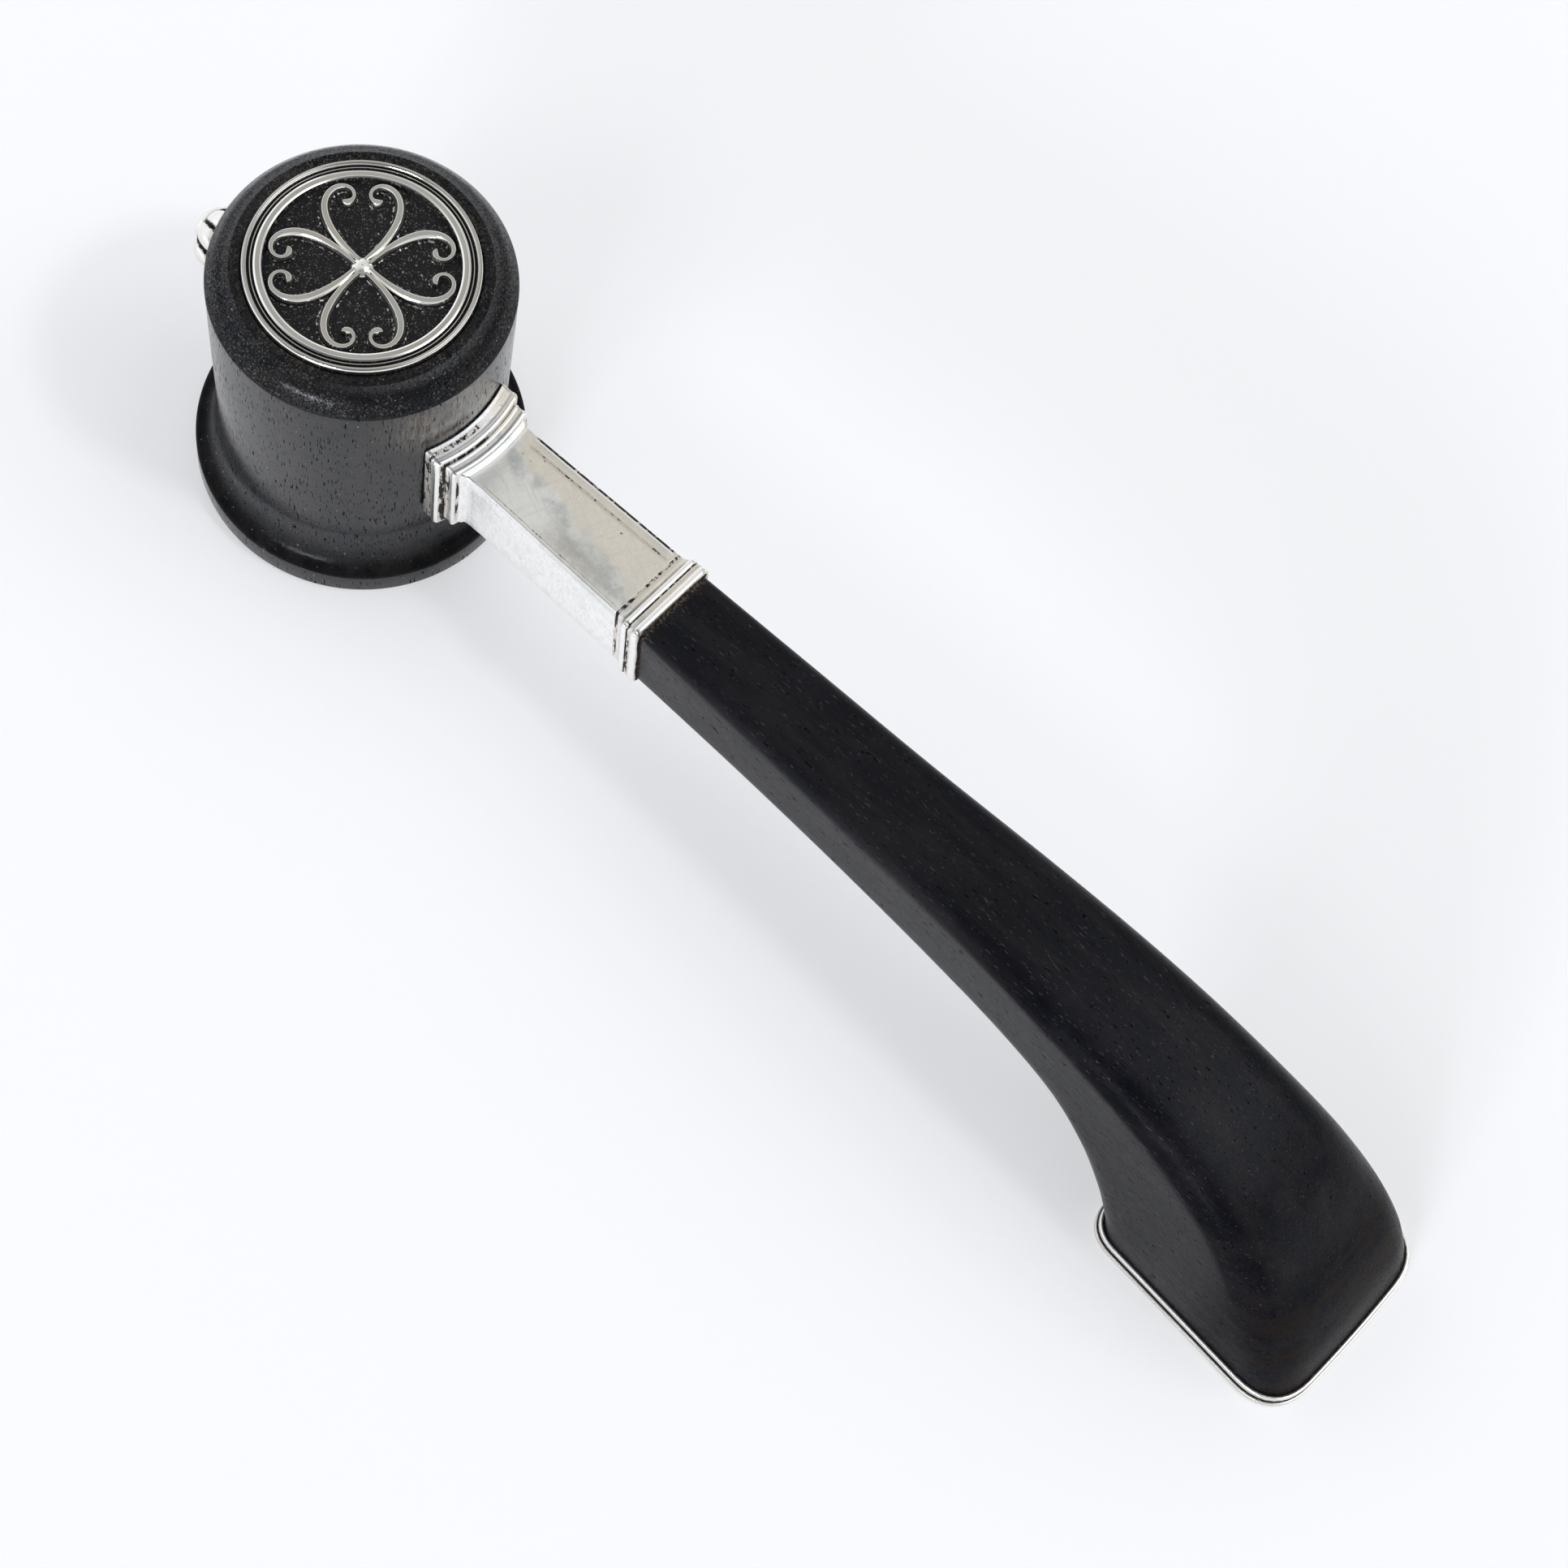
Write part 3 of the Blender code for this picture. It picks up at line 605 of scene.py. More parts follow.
def repeatTree():
    # repeats a mesh round the Z axis: Count copies, the first turned by First Turn
    tree = bpy.data.node_groups.new("repeatRound", "GeometryNodeTree")
    kinds = {"Geometry": "Geometry", "Count": "Int", "First Turn": "Float", "Finish": "Material"}
    for name, kind in kinds.items():
        tree.interface.new_socket(name, in_out="INPUT", socket_type="NodeSocket" + kind)
    tree.interface.new_socket("Geometry", in_out="OUTPUT", socket_type="NodeSocketGeometry")
    source = addNode(tree, "NodeGroupInput").outputs
    line = addNode(tree, "GeometryNodeMeshLine", {"Count": source["Count"], "Offset": (0.0, 0.0, 0.0)})
    share = maths("DIVIDE", addNode(tree, "GeometryNodeInputIndex").outputs[0], source["Count"])
    angle = plus(times(share, 2.0 * math.pi), source["First Turn"])
    turn = addNode(tree, "ShaderNodeCombineXYZ", {"Z": angle})
    spread = addNode(tree, "GeometryNodeInstanceOnPoints", {
        "Points": line.outputs[0], "Instance": source["Geometry"], "Rotation": turn.outputs[0]})
    solid = addNode(tree, "GeometryNodeRealizeInstances", {"Geometry": spread.outputs[0]})
    coat = addNode(tree, "GeometryNodeSetMaterial", {
        "Geometry": solid.outputs[0], "Material": source["Finish"]})
    addNode(tree, "NodeGroupOutput", {"Geometry": coat.outputs[0]})
    return tree


repeatRound = repeatTree()


def repeatPiece(piece, count, firstTurn, finish):
    modifier = piece.modifiers.new("repeat", "NODES")
    values = {"Count": count, "First Turn": firstTurn, "Finish": finish}
    modifier.node_group = repeatRound
    for item in repeatRound.interface.items_tree:
        if item.in_out == "INPUT" and item.name in values:
            modifier[item.identifier] = values[item.name]
    return bakedMesh(piece)


def joinedLofts(name, ringLists):
    # lofts of equal rings of (x, y, z, dirt), closed at both ends and joined in one mesh
    points, faces = [], []
    for rings in ringLists:
        start, count = len(points), len(rings[0])
        points += [point for ring in rings for point in ring]
        faces += sleeveFaces(start, len(rings), count)
        faces += [tuple(range(start, start + count)), tuple(range(len(points) - count, len(points)))]
    return meshPiece(name, [point[:3] for point in points], faces, [point[3] for point in points],
                     sharpDegrees=34.0)


def bossOutline():
    top, foot, radius = scroll["top"] + scroll["bossRise"], plaque["groundHeight"], scroll["bossRadius"]
    outline = [(0.0, top, 0.0)]
    for u, v in arcPoints((0.0, foot), (radius, top - foot), 84.0, 0.0, 12):
        outline.append((u, v, 1.0 - smoothStep(0.1, 0.4, (v - foot) / (top - foot)) * 1.6))
    return outline + [(radius, scroll["foot"], 1.0), (0.0, scroll["foot"], 1.0)]


silverPlaque = turnedPiece("silverPlaque", plaqueOutline(), plaque["steps"])
plaqueSilver = silverMaterial("medallion silver, blackened ground", plaqueLook)
silverPlaque.data.materials.append(plaqueSilver)
hearts = joinedLofts("rosetteHearts", [strokeRings(1.0), strokeRings(-1.0)])
repeatPiece(hearts, scroll["count"], scroll["turn"], plaqueSilver)
boss = turnedPiece("rosetteBoss", bossOutline(), 48)
boss.data.materials.append(plaqueSilver)
for piece in (silverPlaque, hearts, boss):
    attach(piece, "root")
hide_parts("medallion")
print("medallion struck")

# socket: silver casing with stepped mouldings at both ends

socket = {
    "tilt": math.radians(2.4),
    "pivot": Vector((31.0 * mm, 0.0, 32.15 * mm)),
    "unwrapFrom": 31.2 * mm,     # up to here the mouldings follow the drum
    "unwrapTo": 35.0 * mm,
    "ballRadius": 0.66 * mm,
    "ballPlace": (-8.05 * mm, 8.75 * mm),
    "flatSteps": 14,             # points along the top and the bottom
    "sideSteps": 7,
    "cornerSteps": 4,
    "bodySteps": 36,
    # from here on in millimetres, with places along the socket measured from the head's axis
    "spacing": 0.3,              # longest step along a moulding
    "bodyFrom": 34.0,
    "bodyLength": 30.4,
    "lipLength": 2.5,            # a moulding changes from its back to its lip size over this
    "panelFrom": 33.4,           # the long edges have their bevel and engraved line between these
    "panelTo": 64.4,
    "stripWidth": 1.45,
    "lineDepth": 0.08,
    "scrapsFrom": 25.6,          # between these the front half of the first moulding is the blacker one
    "scrapsTo": 28.3,
    "stripFrom": 64.5,           # between these the front corner is the blacker one
    "stripTo": 65.3,
    "balls": {"nearBall": 67.45, "farBall": 69.65},   # on the front corners of the two rings
}
# half width, top and bottom above the socket's axis, corner rounding, in millimetres
flangeBack = (8.95, 10.2, 12.25, 0.6)
flangeLip = (9.3, 9.8, 12.25, 0.7)
collarBack = (8.2, 9.1, 9.7, 0.5)
collarLip = (8.45, 8.95, 9.7, 0.6)
bodyNear = (6.8, 8.2, 8.2, 0.55)
bodyFar = (7.4, 8.15, 8.15, 0.55)
ringBig = (8.6, 9.2, 9.2, 1.5)
# outlines of the mouldings, from one full section to the next: place along the socket in
# millimetres, share of the way out to the full section, rounding, dirt
headMouldings = [
    (flangeBack, flangeLip, [
        (24.75, 0.9, 0.0, 1.2), (24.92, 0.97, 0.03, 0.7), (25.05, 1.0, 0.05, 0.0), (25.5, 0.985, 0.1, 0.1),
        (25.7, 0.98, 0.05, 0.45), (26.35, 0.965, 0.05, 0.45), (26.55, 0.96, 0.05, 0.1),
        (26.85, 0.965, 0.2, 0.0), (27.05, 0.99, 0.1, -0.9), (27.6, 1.0, 0.2, -1.0), (27.92, 0.95, 0.1, -1.0),
        (28.05, 0.85, 0.05, 0.3), (28.1, 0.76, 0.05, 0.75)]),
    (collarBack, collarLip, [
        (28.22, 0.72, 0.05, 0.75), (28.35, 0.94, 0.03, 0.1), (28.45, 1.0, 0.05, -1.0),
        (28.75, 0.99, 0.1, -1.0), (28.95, 0.93, 0.2, 0.0), (29.6, 0.92, 0.2, 0.0), (29.85, 0.98, 0.1, -0.5),
        (30.05, 1.02, 0.1, -1.0), (30.4, 0.98, 0.1, -1.0), (30.5, 0.66, 0.05, 0.0), (30.62, 0.5, 0.05, 0.1),
        (30.85, 0.42, 0.1, -0.3), (31.1, 0.34, 0.2, -0.3), (31.4, 0.1, 0.2, 0.0), (31.75, 0.06, 0.2, -0.7),
        (32.4, 0.02, 0.5, 0.0), (34.0, 0.0, 0.0, 0.0)]),
]
# the side faces of the mouldings are darker over these stretches, in their coves and grooves: from, to, dirt
sideDarkening = [(24.9, 26.8, 0.38), (27.98, 29.3, 0.5), (30.42, 30.7, 0.6), (67.85, 68.7, 0.6)]
endMouldings = [
    (64.4, 0.0, 0.0, 0.0), (64.6, 0.03, 0.08, 0.1), (64.75, 0.0, 0.05, 0.54), (65.2, 0.0, 0.05, 0.54),
    (65.35, 0.02, 0.1, 0.12), (65.8, 0.06, 0.2, 0.12), (66.4, 0.3, 0.4, 0.16), (66.72, 0.62, 0.2, 0.3),
    (66.95, 0.95, 0.2, -0.9), (67.2, 1.0, 0.15, -1.0), (67.55, 1.0, 0.15, -1.0), (67.76, 0.9, 0.05, -0.5),
    (67.85, 0.8, 0.05, 0.3), (67.92, 0.72, 0.05, 0.8), (68.08, 0.72, 0.05, 0.8), (68.16, 0.78, 0.05, 0.1),
    (68.4, 0.82, 0.3, 0.1), (68.8, 0.84, 0.3, 0.2), (69.05, 0.97, 0.2, -0.3), (69.35, 1.07, 0.25, -1.0),
    (69.9, 1.05, 0.25, -1.0), (70.2, 0.85, 0.2, 0.0), (70.4, 0.5, 0.1, 0.7), (70.4, -0.6, 0.0, 1.0),
]
socketLook = {
    "plain": (0.985, 0.985, 0.97), "warm": (0.93, 0.925, 0.88), "grey": (0.58, 0.59, 0.58), "greyShare": 0.12,
    "rubbed": (1.0, 0.995, 0.97), "stain": (0.54, 0.48, 0.39), "grime": (0.016, 0.013, 0.011), "metal": 0.85,
    "roughness": (0.2, 0.32), "dents": 0.08, "scratches": 0.5, "scratchShare": 0.27, "pitFrom": 0.765,
    "pitShare": 0.8, "bareFrom": 0.75, "bareShare": 0.6,
}
socketTopTarnishAndLight = {
    "topHeights": (39.6 * mm, 40.2 * mm),   # only the upper face takes the colours that follow, the first a painted shade that darkens it
    "top": (0.785, 0.785, 0.755),
    "raggedness": 8.0 * mm,
    "warm": (0.78, 0.725, 0.61),            # towards the back of the top, partly tarnish and partly painted reflection
    "warmEdge": (8.3 * mm, 10.3 * mm),
    "blue": (0.42, 0.455, 0.45),            # blotches where the warm part begins, partly tarnish and partly painted reflection
    "blueLine": 8.0 * mm,
    "blueWidth": 2.4 * mm,
    "cloud": (0.43, 0.42, 0.385),           # a dark streak along the front half of the top, a painted reflection
    "cloudWidth": 4.2 * mm,
    "cloudStart": (43.5 * mm, 48.5 * mm),
    "cloudEnd": (55.0 * mm, 66.0 * mm),
}


def paintSocketTopTarnishAndLight(coords, colour):
    # the top is darker than the sides, a painted shade; its back half is warm and blotched blue-grey
    # where that begins, partly tarnish and partly painted reflection; a dark streak along the front half is a
    # painted reflection
    parts = addNode(coords.id_data, "ShaderNodeSeparateXYZ", {"Vector": coords}).outputs
    along, across = parts["X"], parts["Y"]
    swirl = maths("SUBTRACT", noiseField(coords, (150.0,) * 3, 5.0, 0.65), 0.5)
    ragged = times(swirl, socketTopTarnishAndLight["raggedness"])
    top = between(parts["Z"], *socketTopTarnishAndLight["topHeights"])
    # painted shade: the top is darker than the sides
    colour = blendColours(times(top, 0.75), colour, socketTopTarnishAndLight["top"])
    # partly tarnish, partly painted reflection: a warm back half with blue-grey blotches where it begins
    border = plus(across, ragged, times(along, 0.2))
    warm = times(between(border, *socketTopTarnishAndLight["warmEdge"]), top, 0.8)
    colour = blendColours(warm, colour, socketTopTarnishAndLight["warm"])
    off = maths("ABSOLUTE", maths("SUBTRACT", border, socketTopTarnishAndLight["blueLine"]), 0.0)
    blotch = times(between(off, 0.4 * mm, socketTopTarnishAndLight["blueWidth"], 0.65, 0.0), top,
                   between(noiseField(coords, (260.0,) * 3, 4.0, 0.6), 0.42, 0.6))
    colour = blendColours(blotch, colour, socketTopTarnishAndLight["blue"])
    middle = maths("SUBTRACT", -0.3 * mm, times(along, 0.075))
    gap = maths("ABSOLUTE", plus(maths("SUBTRACT", across, middle), ragged), 0.0)
    # painted reflection: a dark streak along the front half of the top
    cloud = times(between(gap, 0.0, socketTopTarnishAndLight["cloudWidth"], 0.75, 0.0), top,
                  between(plus(along, ragged), *socketTopTarnishAndLight["cloudStart"]),
                  between(along, *socketTopTarnishAndLight["cloudEnd"], 1.0, 0.1))
    return blendColours(cloud, colour, socketTopTarnishAndLight["cloud"])


def casingSection(size, panel, sideDark):
    # points round a rounded rectangle: (y, z, dirt). On the body, where panel is 1, the back edge
    # of the top has a dark bevel, a fine ridge, a flat strip and an engraved line, and the
    # front edge a fine dark line
    width, top, bottom, corner = size
    front, back, high, low = corner - width, width - corner, top - corner, corner - bottom
    points = []

    def bend(u, v, start):
        for y, z in arcPoints((u, v), (corner, corner), start, start + 90.0, socket["cornerSteps"]):
            points.append((y, z, 0.0))

    def run(start, end, height):
        for i in range(1, socket["flatSteps"]):
            points.append((start + (end - start) * i / socket["flatSteps"], height, 0.0))

    def side(y, start, end):
        for i in range(1, socket["sideSteps"]):
            points.append((y, start + (end - start) * i / socket["sideSteps"], sideDark))

    bend(back, high, 0.0)
    # the bevel at the back edge of the top is darker
    points[1:] = [(y, z, 0.75 * panel) for y, z, _ in points[1:]]
    line = back - 0.2 - socket["stripWidth"]
    for y, lift, dark in ((back - 0.05, 0.05, -1.0), (back - 0.3, 0.05, -1.0), (back - 0.4, 0.0, 0.0),
                          (line + 0.22, 0.0, 0.0), (line + 0.12, -0.03, 0.36),
                          (line - 0.1, -socket["lineDepth"], 0.36), (line - 0.35, -0.02, 0.15),
                          (line - 0.8, 0.0, 0.0)):
        points.append((y, top + lift * panel, dark * panel))
    run(line - 0.8, front + 0.45, top)
    for y, dark in ((0.45, 0.0), (0.36, 0.34), (0.18, 0.34), (0.1, -1.0)):
        points.append((front + y, top, dark * panel))
    bend(front, high, 90.0)
    side(-width, high, low)
    bend(front, low, 180.0)
    run(front, back, -bottom)
    bend(back, low, 270.0)
    side(width, low, high)
    return points


def mixedSize(under, over, share):
    return tuple(a + (b - a) * share for a, b in zip(under, over))


def casingRing(along, size, mark):
    straight = smoothStep(socket["unwrapFrom"], socket["unwrapTo"], along * mm)
    panel = smoothStep(socket["panelFrom"], socket["panelFrom"] + 1.5, along)
    panel *= 1.0 - smoothStep(socket["panelTo"] - 0.3, socket["panelTo"], along)
    lean = Matrix.Rotation(-socket["tilt"] * straight, 3, "Y")
    sideDark = max([dirt for start, end, dirt in sideDarkening if start < along < end] or [0.0])
    ring, marks = [], []
    for y, z, dark in casingSection(size, panel, sideDark):
        y, z = y * mm, z * mm
        wrapped = math.sqrt(max((along * mm) ** 2 - y ** 2, 0.0))
        reach = wrapped + (along * mm - wrapped) * straight
        ring.append(socket["pivot"] + lean @ Vector((reach - socket["pivot"].x, y, z)))
        spot = mark * 0.4 if y > 0.0 and socket["scrapsFrom"] < along < socket["scrapsTo"] else mark
        if socket["stripFrom"] < along < socket["stripTo"] and z > 0.0:
            spot = mark * (1.2 if y < -4.0 * mm else 0.85)
        marks.append(max(spot, dark) if dark > 0.0 or spot > 0.0 else min(spot, dark))
    return ring, marks


def casingRings():
    stations = []
    for nearSize, farSize, corners in headMouldings:
        start = corners[0][0]
        for along, share, mark in roundedOutline(corners, 3, socket["spacing"]):
            size = mixedSize(nearSize, farSize, min((along - start) / socket["lipLength"], 1.0))
            stations.append((along, mixedSize(bodyNear, size, share), mark))
    for i in range(1, socket["bodySteps"]):
        share = i / socket["bodySteps"]
        along = socket["bodyFrom"] + socket["bodyLength"] * share
        stations.append((along, mixedSize(bodyNear, bodyFar, share), 0.0))
    for along, share, mark in roundedOutline(endMouldings, 4, socket["spacing"]):
        stations.append((along, mixedSize(bodyFar, ringBig, share), mark))
    return zip(*(casingRing(*station) for station in stations))


def cornerBall(name, along):
    # a small ball that faces outwards from a ring's corner, dark where it meets the ring
    radius, pivot = socket["ballRadius"], socket["pivot"]
    arc = arcPoints((0.0, 0.0), (radius, radius), 90.0, -90.0, 16)
    ball = turnedPiece(name, [(u, v, smoothStep(0.4, 0.0, v / radius)) for u, v in arc], 24)
    spot = Matrix.Rotation(-socket["tilt"], 3, "Y") @ Vector((along * mm - pivot.x, *socket["ballPlace"]))
    ball.data.transform(Matrix.Translation(pivot + spot) @ Matrix.Rotation(math.radians(45.0), 4, "X"))
    return ball


rings, dirt = casingRings()
silverCasing = loftPiece("silverCasing", list(rings), list(dirt), sharpDegrees=32.0)
socketSilver = silverMaterial("socket silver, tarnished, with painted reflections", socketLook, paintSocketTopTarnishAndLight)
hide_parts("silver_socket")
for piece in (silverCasing, *(cornerBall(name, along) for name, along in socket["balls"].items())):
    piece.data.materials.append(socketSilver)
    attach(piece, "root")
print("socket made")

# handle: carved ebony

# stations in millimetres: underside x and z, top x and z, half width below and above, corner
# rounding below and above, bow of the top
handleStations = [
    (70.2, 25.0, 69.5, 42.4, 7.6, 7.6, 1.8, 2.0, 0.2),
    (94.0, 26.2, 93.5, 43.5, 8.5, 8.35, 2.6, 2.8, 0.3),
    (117.0, 25.7, 117.5, 44.4, 9.1, 9.15, 3.2, 3.4, 0.4),
    (138.0, 24.7, 141.0, 45.7, 9.9, 10.2, 3.8, 4.0, 0.5),
    (153.0, 24.7, 159.0, 45.3, 11.2, 11.25, 4.2, 4.6, 0.6),
    (164.6, 22.5, 175.0, 43.6, 12.3, 12.15, 4.6, 5.2, 0.8),
    (172.8, 17.8, 190.0, 40.0, 13.6, 13.1, 5.0, 6.0, 1.0),
    (178.8, 11.6, 204.0, 33.2, 14.8, 14.8, 5.3, 6.6, 1.2),
    (182.1, 6.8, 214.8, 22.5, 15.65, 17.1, 5.6, 7.2, 1.2),
    (183.5, 4.4, 221.8, 11.6, 16.1, 18.65, 5.8, 7.6, 1.0),
    (183.8, 2.6, 225.5, 2.6, 16.3, 19.3, 5.9, 7.9, 0.7),
]
handleSteps = 10       # rings between two stations
handleLook = {
    "grain": "x", "dark": (0.0042, 0.0046, 0.0066), "brown": (0.0105, 0.0090, 0.0102),
    "rubbed": (0.0125, 0.0125, 0.0150), "rubbedShare": 0.6, "pores": (2600.0, 700.0), "poreFrom": 0.68,
    "chalk": (4200.0, 620.0), "chalkFrom": 0.665, "chalkShare": 0.42, "chalkColour": (0.085, 0.084, 0.09),
    "dustShare": 0.12, "roughness": (0.2, 0.3), "ior": 1.2, "sheen": (0.95, 0.97, 1.0), "poreDepth": 0.5,
    "fibreDepth": 1.0, "unevenness": 0.12,
}
handleWearAndShade = {
    "gritEdge": (70.5 * mm, 71.4 * mm),      # brown tarnish grit on the wood beside the socket
    "gritColour": (0.11, 0.08, 0.055),
    "endEdge": (196.0 * mm, 210.0 * mm),     # the end is striped brown and its shine is cut, a painted shade
    "endHeights": (20.0 * mm, 32.0 * mm),
    "stripeColour": (0.013, 0.0095, 0.0075),
    "shadeDullness": 0.8,
    "bentEdge": (125.0 * mm, 150.0 * mm),    # from here on the front edge of the top has its shine cut too, a painted shade
    "edgePoints": range(32, 37),             # the points of a ring that lie on that edge
}


def handleWornAndShaded(coords, base):
    # brown grit beside the silver, a striped end and, as painted shade, the shine cut on the end and on the
    # front edge of the bent part
    tree = coords.id_data
    parts = addNode(tree, "ShaderNodeSeparateXYZ", {"Vector": coords}).outputs
    grit = times(between(parts["X"], *handleWearAndShade["gritEdge"], 0.75, 0.0),
                 between(noiseField(coords, (2600.0,) * 3, 2.0, 0.7), 0.45, 0.62))
    base = blendColours(grit, base, handleWearAndShade["gritColour"])
    end = times(between(parts["X"], *handleWearAndShade["endEdge"]),
                between(parts["Z"], *handleWearAndShade["endHeights"], 1.0, 0.0))
    stripes = between(noiseField(coords, (60.0, 60.0, 500.0), 3.0, 0.6), 0.45, 0.65)
    base = blendColours(times(end, stripes), base, handleWearAndShade["stripeColour"])
    edge = addNode(tree, "ShaderNodeAttribute", attribute_name="dirt").outputs["Fac"]
    return base, times(maths("MAXIMUM", end, edge), handleWearAndShade["shadeDullness"])


def alongRows(rows, index, share):
    # a smooth curve through the rows, each value taken by itself
    p0, p1, p2 = rows[max(index - 1, 0)], rows[index], rows[index + 1]
    p3 = rows[min(index + 2, len(rows) - 1)]
    values = []
    for a, b, c, d in zip(p0, p1, p2, p3):
        slope, nextSlope = (c - a) / 2.0, (d - b) / 2.0
        cubic = 2.0 * (b - c) + slope + nextSlope
        square = 3.0 * (c - b) - 2.0 * slope - nextSlope
        values.append(((cubic * share + square) * share + slope) * share + b)
    return values


def handleRing(row, cornerSteps=7, edgeSteps=8):
    lowX, lowZ, highX, highZ, lowWidth, highWidth, lowCorner, highCorner, bow = row
    low = Vector((lowX, 0.0, lowZ))
    rise = Vector((highX, 0.0, highZ)) - low
    length = rise.length
    corners = [(0.0, lowWidth, lowCorner, 0.0), (length, highWidth, highCorner, 0.0),
               (length, -highWidth, highCorner, 0.0), (0.0, -lowWidth, lowCorner, 0.0)]
    loop = []
    for k in range(4):
        bend = roundedOutline([corners[k - 1], corners[k], corners[(k + 1) % 4]], cornerSteps)
        loop += [Vector(point[:2]) for point in bend[1:-1]]
    finer = []
    for k, here in enumerate(loop):
        finer.append(here)
        ahead = loop[(k + 1) % len(loop)]
        if (k + 1) % (cornerSteps + 1) == 0:
            finer += [here.lerp(ahead, i / edgeSteps) for i in range(1, edgeSteps)]
    ring = []
    for point in finer:
        share = point.x / length
        width = lowWidth + (highWidth - lowWidth) * share
        lift = bow * share * (1.0 - (point.y / width) ** 2)
        ring.append((low + rise.normalized() * (point.x + lift) + Vector((0.0, point.y, 0.0))) * mm)
    return ring


def edgeMarks(ring):
    # 1 on the bent part of the front edge of the top, where painted shade cuts the shine
    bent = smoothStep(*handleWearAndShade["bentEdge"], ring[0].x)
    return [bent if i in handleWearAndShade["edgePoints"] else 0.0 for i in range(len(ring))]


handleRings = [handleRing(alongRows(handleStations, index, step / handleSteps))
               for index in range(len(handleStations) - 1) for step in range(handleSteps)]
handleRings.append(handleRing(handleStations[-1]))
handleWood = loftPiece("handleWood", handleRings, [edgeMarks(ring) for ring in handleRings],
                       sharpDegrees=60.0)
handleWood.data.materials.append(ebonyMaterial("handle ebony, handled, with painted shade", handleLook, handleWornAndShaded))
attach(handleWood, "root")
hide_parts("handle")
print("handle carved")

# end plate: silver shoe with two rims

shoe = {   # all in millimetres
    "nearX": 182.7, "farX": 226.6, "nearWidth": 17.4, "farWidth": 20.4, "nearCorner": 6.8, "farCorner": 8.8,
    "leastCorner": 1.0, "bow": 0.7,
    # edge of the plate: inset, height, rounding, dirt
    "edge": [(12.0, 0.0, 0.0, 0.0), (0.4, 0.0, 0.3, 0.0), (0.0, 0.35, 0.2, 0.0), (0.0, 0.9, 0.2, 0.0),
             (0.1, 1.2, 0.1, -0.6), (0.36, 1.25, 0.05, 0.1), (0.44, 1.0, 0.03, 1.2), (0.62, 1.0, 0.03, 1.2),
             (0.6, 1.6, 0.05, 0.9), (0.44, 1.85, 0.1, 0.0), (0.42, 2.55, 0.3, 0.0), (0.6, 2.92, 0.15, -1.0),
             (0.8, 2.95, 0.1, -0.6), (1.0, 2.88, 0.05, 0.35), (1.12, 2.8, 0.0, 0.9), (1.5, 2.5, 0.0, 1.2)],
}
shoeLook = dict(socketLook, plain=(0.66, 0.65, 0.61), warm=(0.58, 0.55, 0.49), scratches=0.3)


def shoeRing(inset, height):
    corners = [max(shoe[key] - inset, shoe["leastCorner"]) for key in ("nearCorner", "farCorner")]
    row = (shoe["nearX"] + inset, 0.0, shoe["farX"] - inset, 0.0, shoe["nearWidth"] - inset,
           shoe["farWidth"] - inset, *corners, shoe["bow"])
    return [point + Vector((0.0, 0.0, height * mm)) for point in handleRing(row, 10, 6)]


shoeEdge = roundedOutline(shoe["edge"], 4)
silverShoe = loftPiece("silverShoe", [shoeRing(inset, height) for inset, height, _ in shoeEdge],
                       [mark for _, _, mark in shoeEdge], sharpDegrees=30.0)
silverShoe.data.materials.append(silverMaterial("end plate silver, worn", shoeLook))
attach(silverShoe, "root")
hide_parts("end_plate")
print("end plate made")

# knob: lobed silver ball on a short stem

knob = {
    "centre": Vector((-31.7 * mm, 0.0, 30.0 * mm)),
    "lobes": 8,
    "radius": 6.3 * mm,
    "halfLength": 4.5 * mm,
    "lobeWidth": 2.0 * mm,
    "lobeDepth": 2.0 * mm,
    "plumpness": 0.8,            # smaller is fuller towards the poles
    "grooveFrom": 0.78,          # the sides of a lobe blacken between these shares of its width
    "grooveTo": 0.95,
    "rings": 24,
    "ringSteps": 28,
    # tip, core and stem: radius and height in millimetres, rounding, dirt
    "core": [(0.0, 5.9, 0.0, 0.0), (1.4, 5.8, 0.6, 0.0), (3.3, 4.6, 1.2, 0.0), (3.4, 3.7, 0.4, 0.1),
             (2.6, 3.3, 0.2, 0.9), (3.6, 0.0, 1.0, 0.9), (2.6, -3.3, 0.2, 0.9), (3.5, -4.0, 0.3, 0.0),
             (3.6, -7.3, 0.3, 0.1), (0.0, -7.3, 0.0, 0.0)],
    "coreSteps": 64,
}
knobLook = dict(plaqueLook, plain=(0.95, 0.94, 0.90), warm=(0.90, 0.87, 0.80), metal=1.0,
                roughness=(0.04, 0.1), greyShare=0.15, scratchShare=0.1)


def lobeRings():
    # one lobe: a plump slice that runs from pole to pole of the ball, black in the grooves beside it
    rings = []
    for k in range(1, knob["rings"]):
        angle = math.pi * k / knob["rings"]
        out = math.sin(angle) ** knob["plumpness"]
        height = knob["halfLength"] * math.cos(angle)
        centre = (knob["radius"] - knob["lobeDepth"]) * out
        ring = []
        for i in range(knob["ringSteps"]):
            turn = 2.0 * math.pi * i / knob["ringSteps"]
            dark = smoothStep(knob["grooveFrom"], knob["grooveTo"], abs(math.sin(turn)))
            ring.append((centre + knob["lobeDepth"] * out * math.cos(turn),
                         knob["lobeWidth"] * out * math.sin(turn), height, dark))
        rings.append(ring)
    return rings


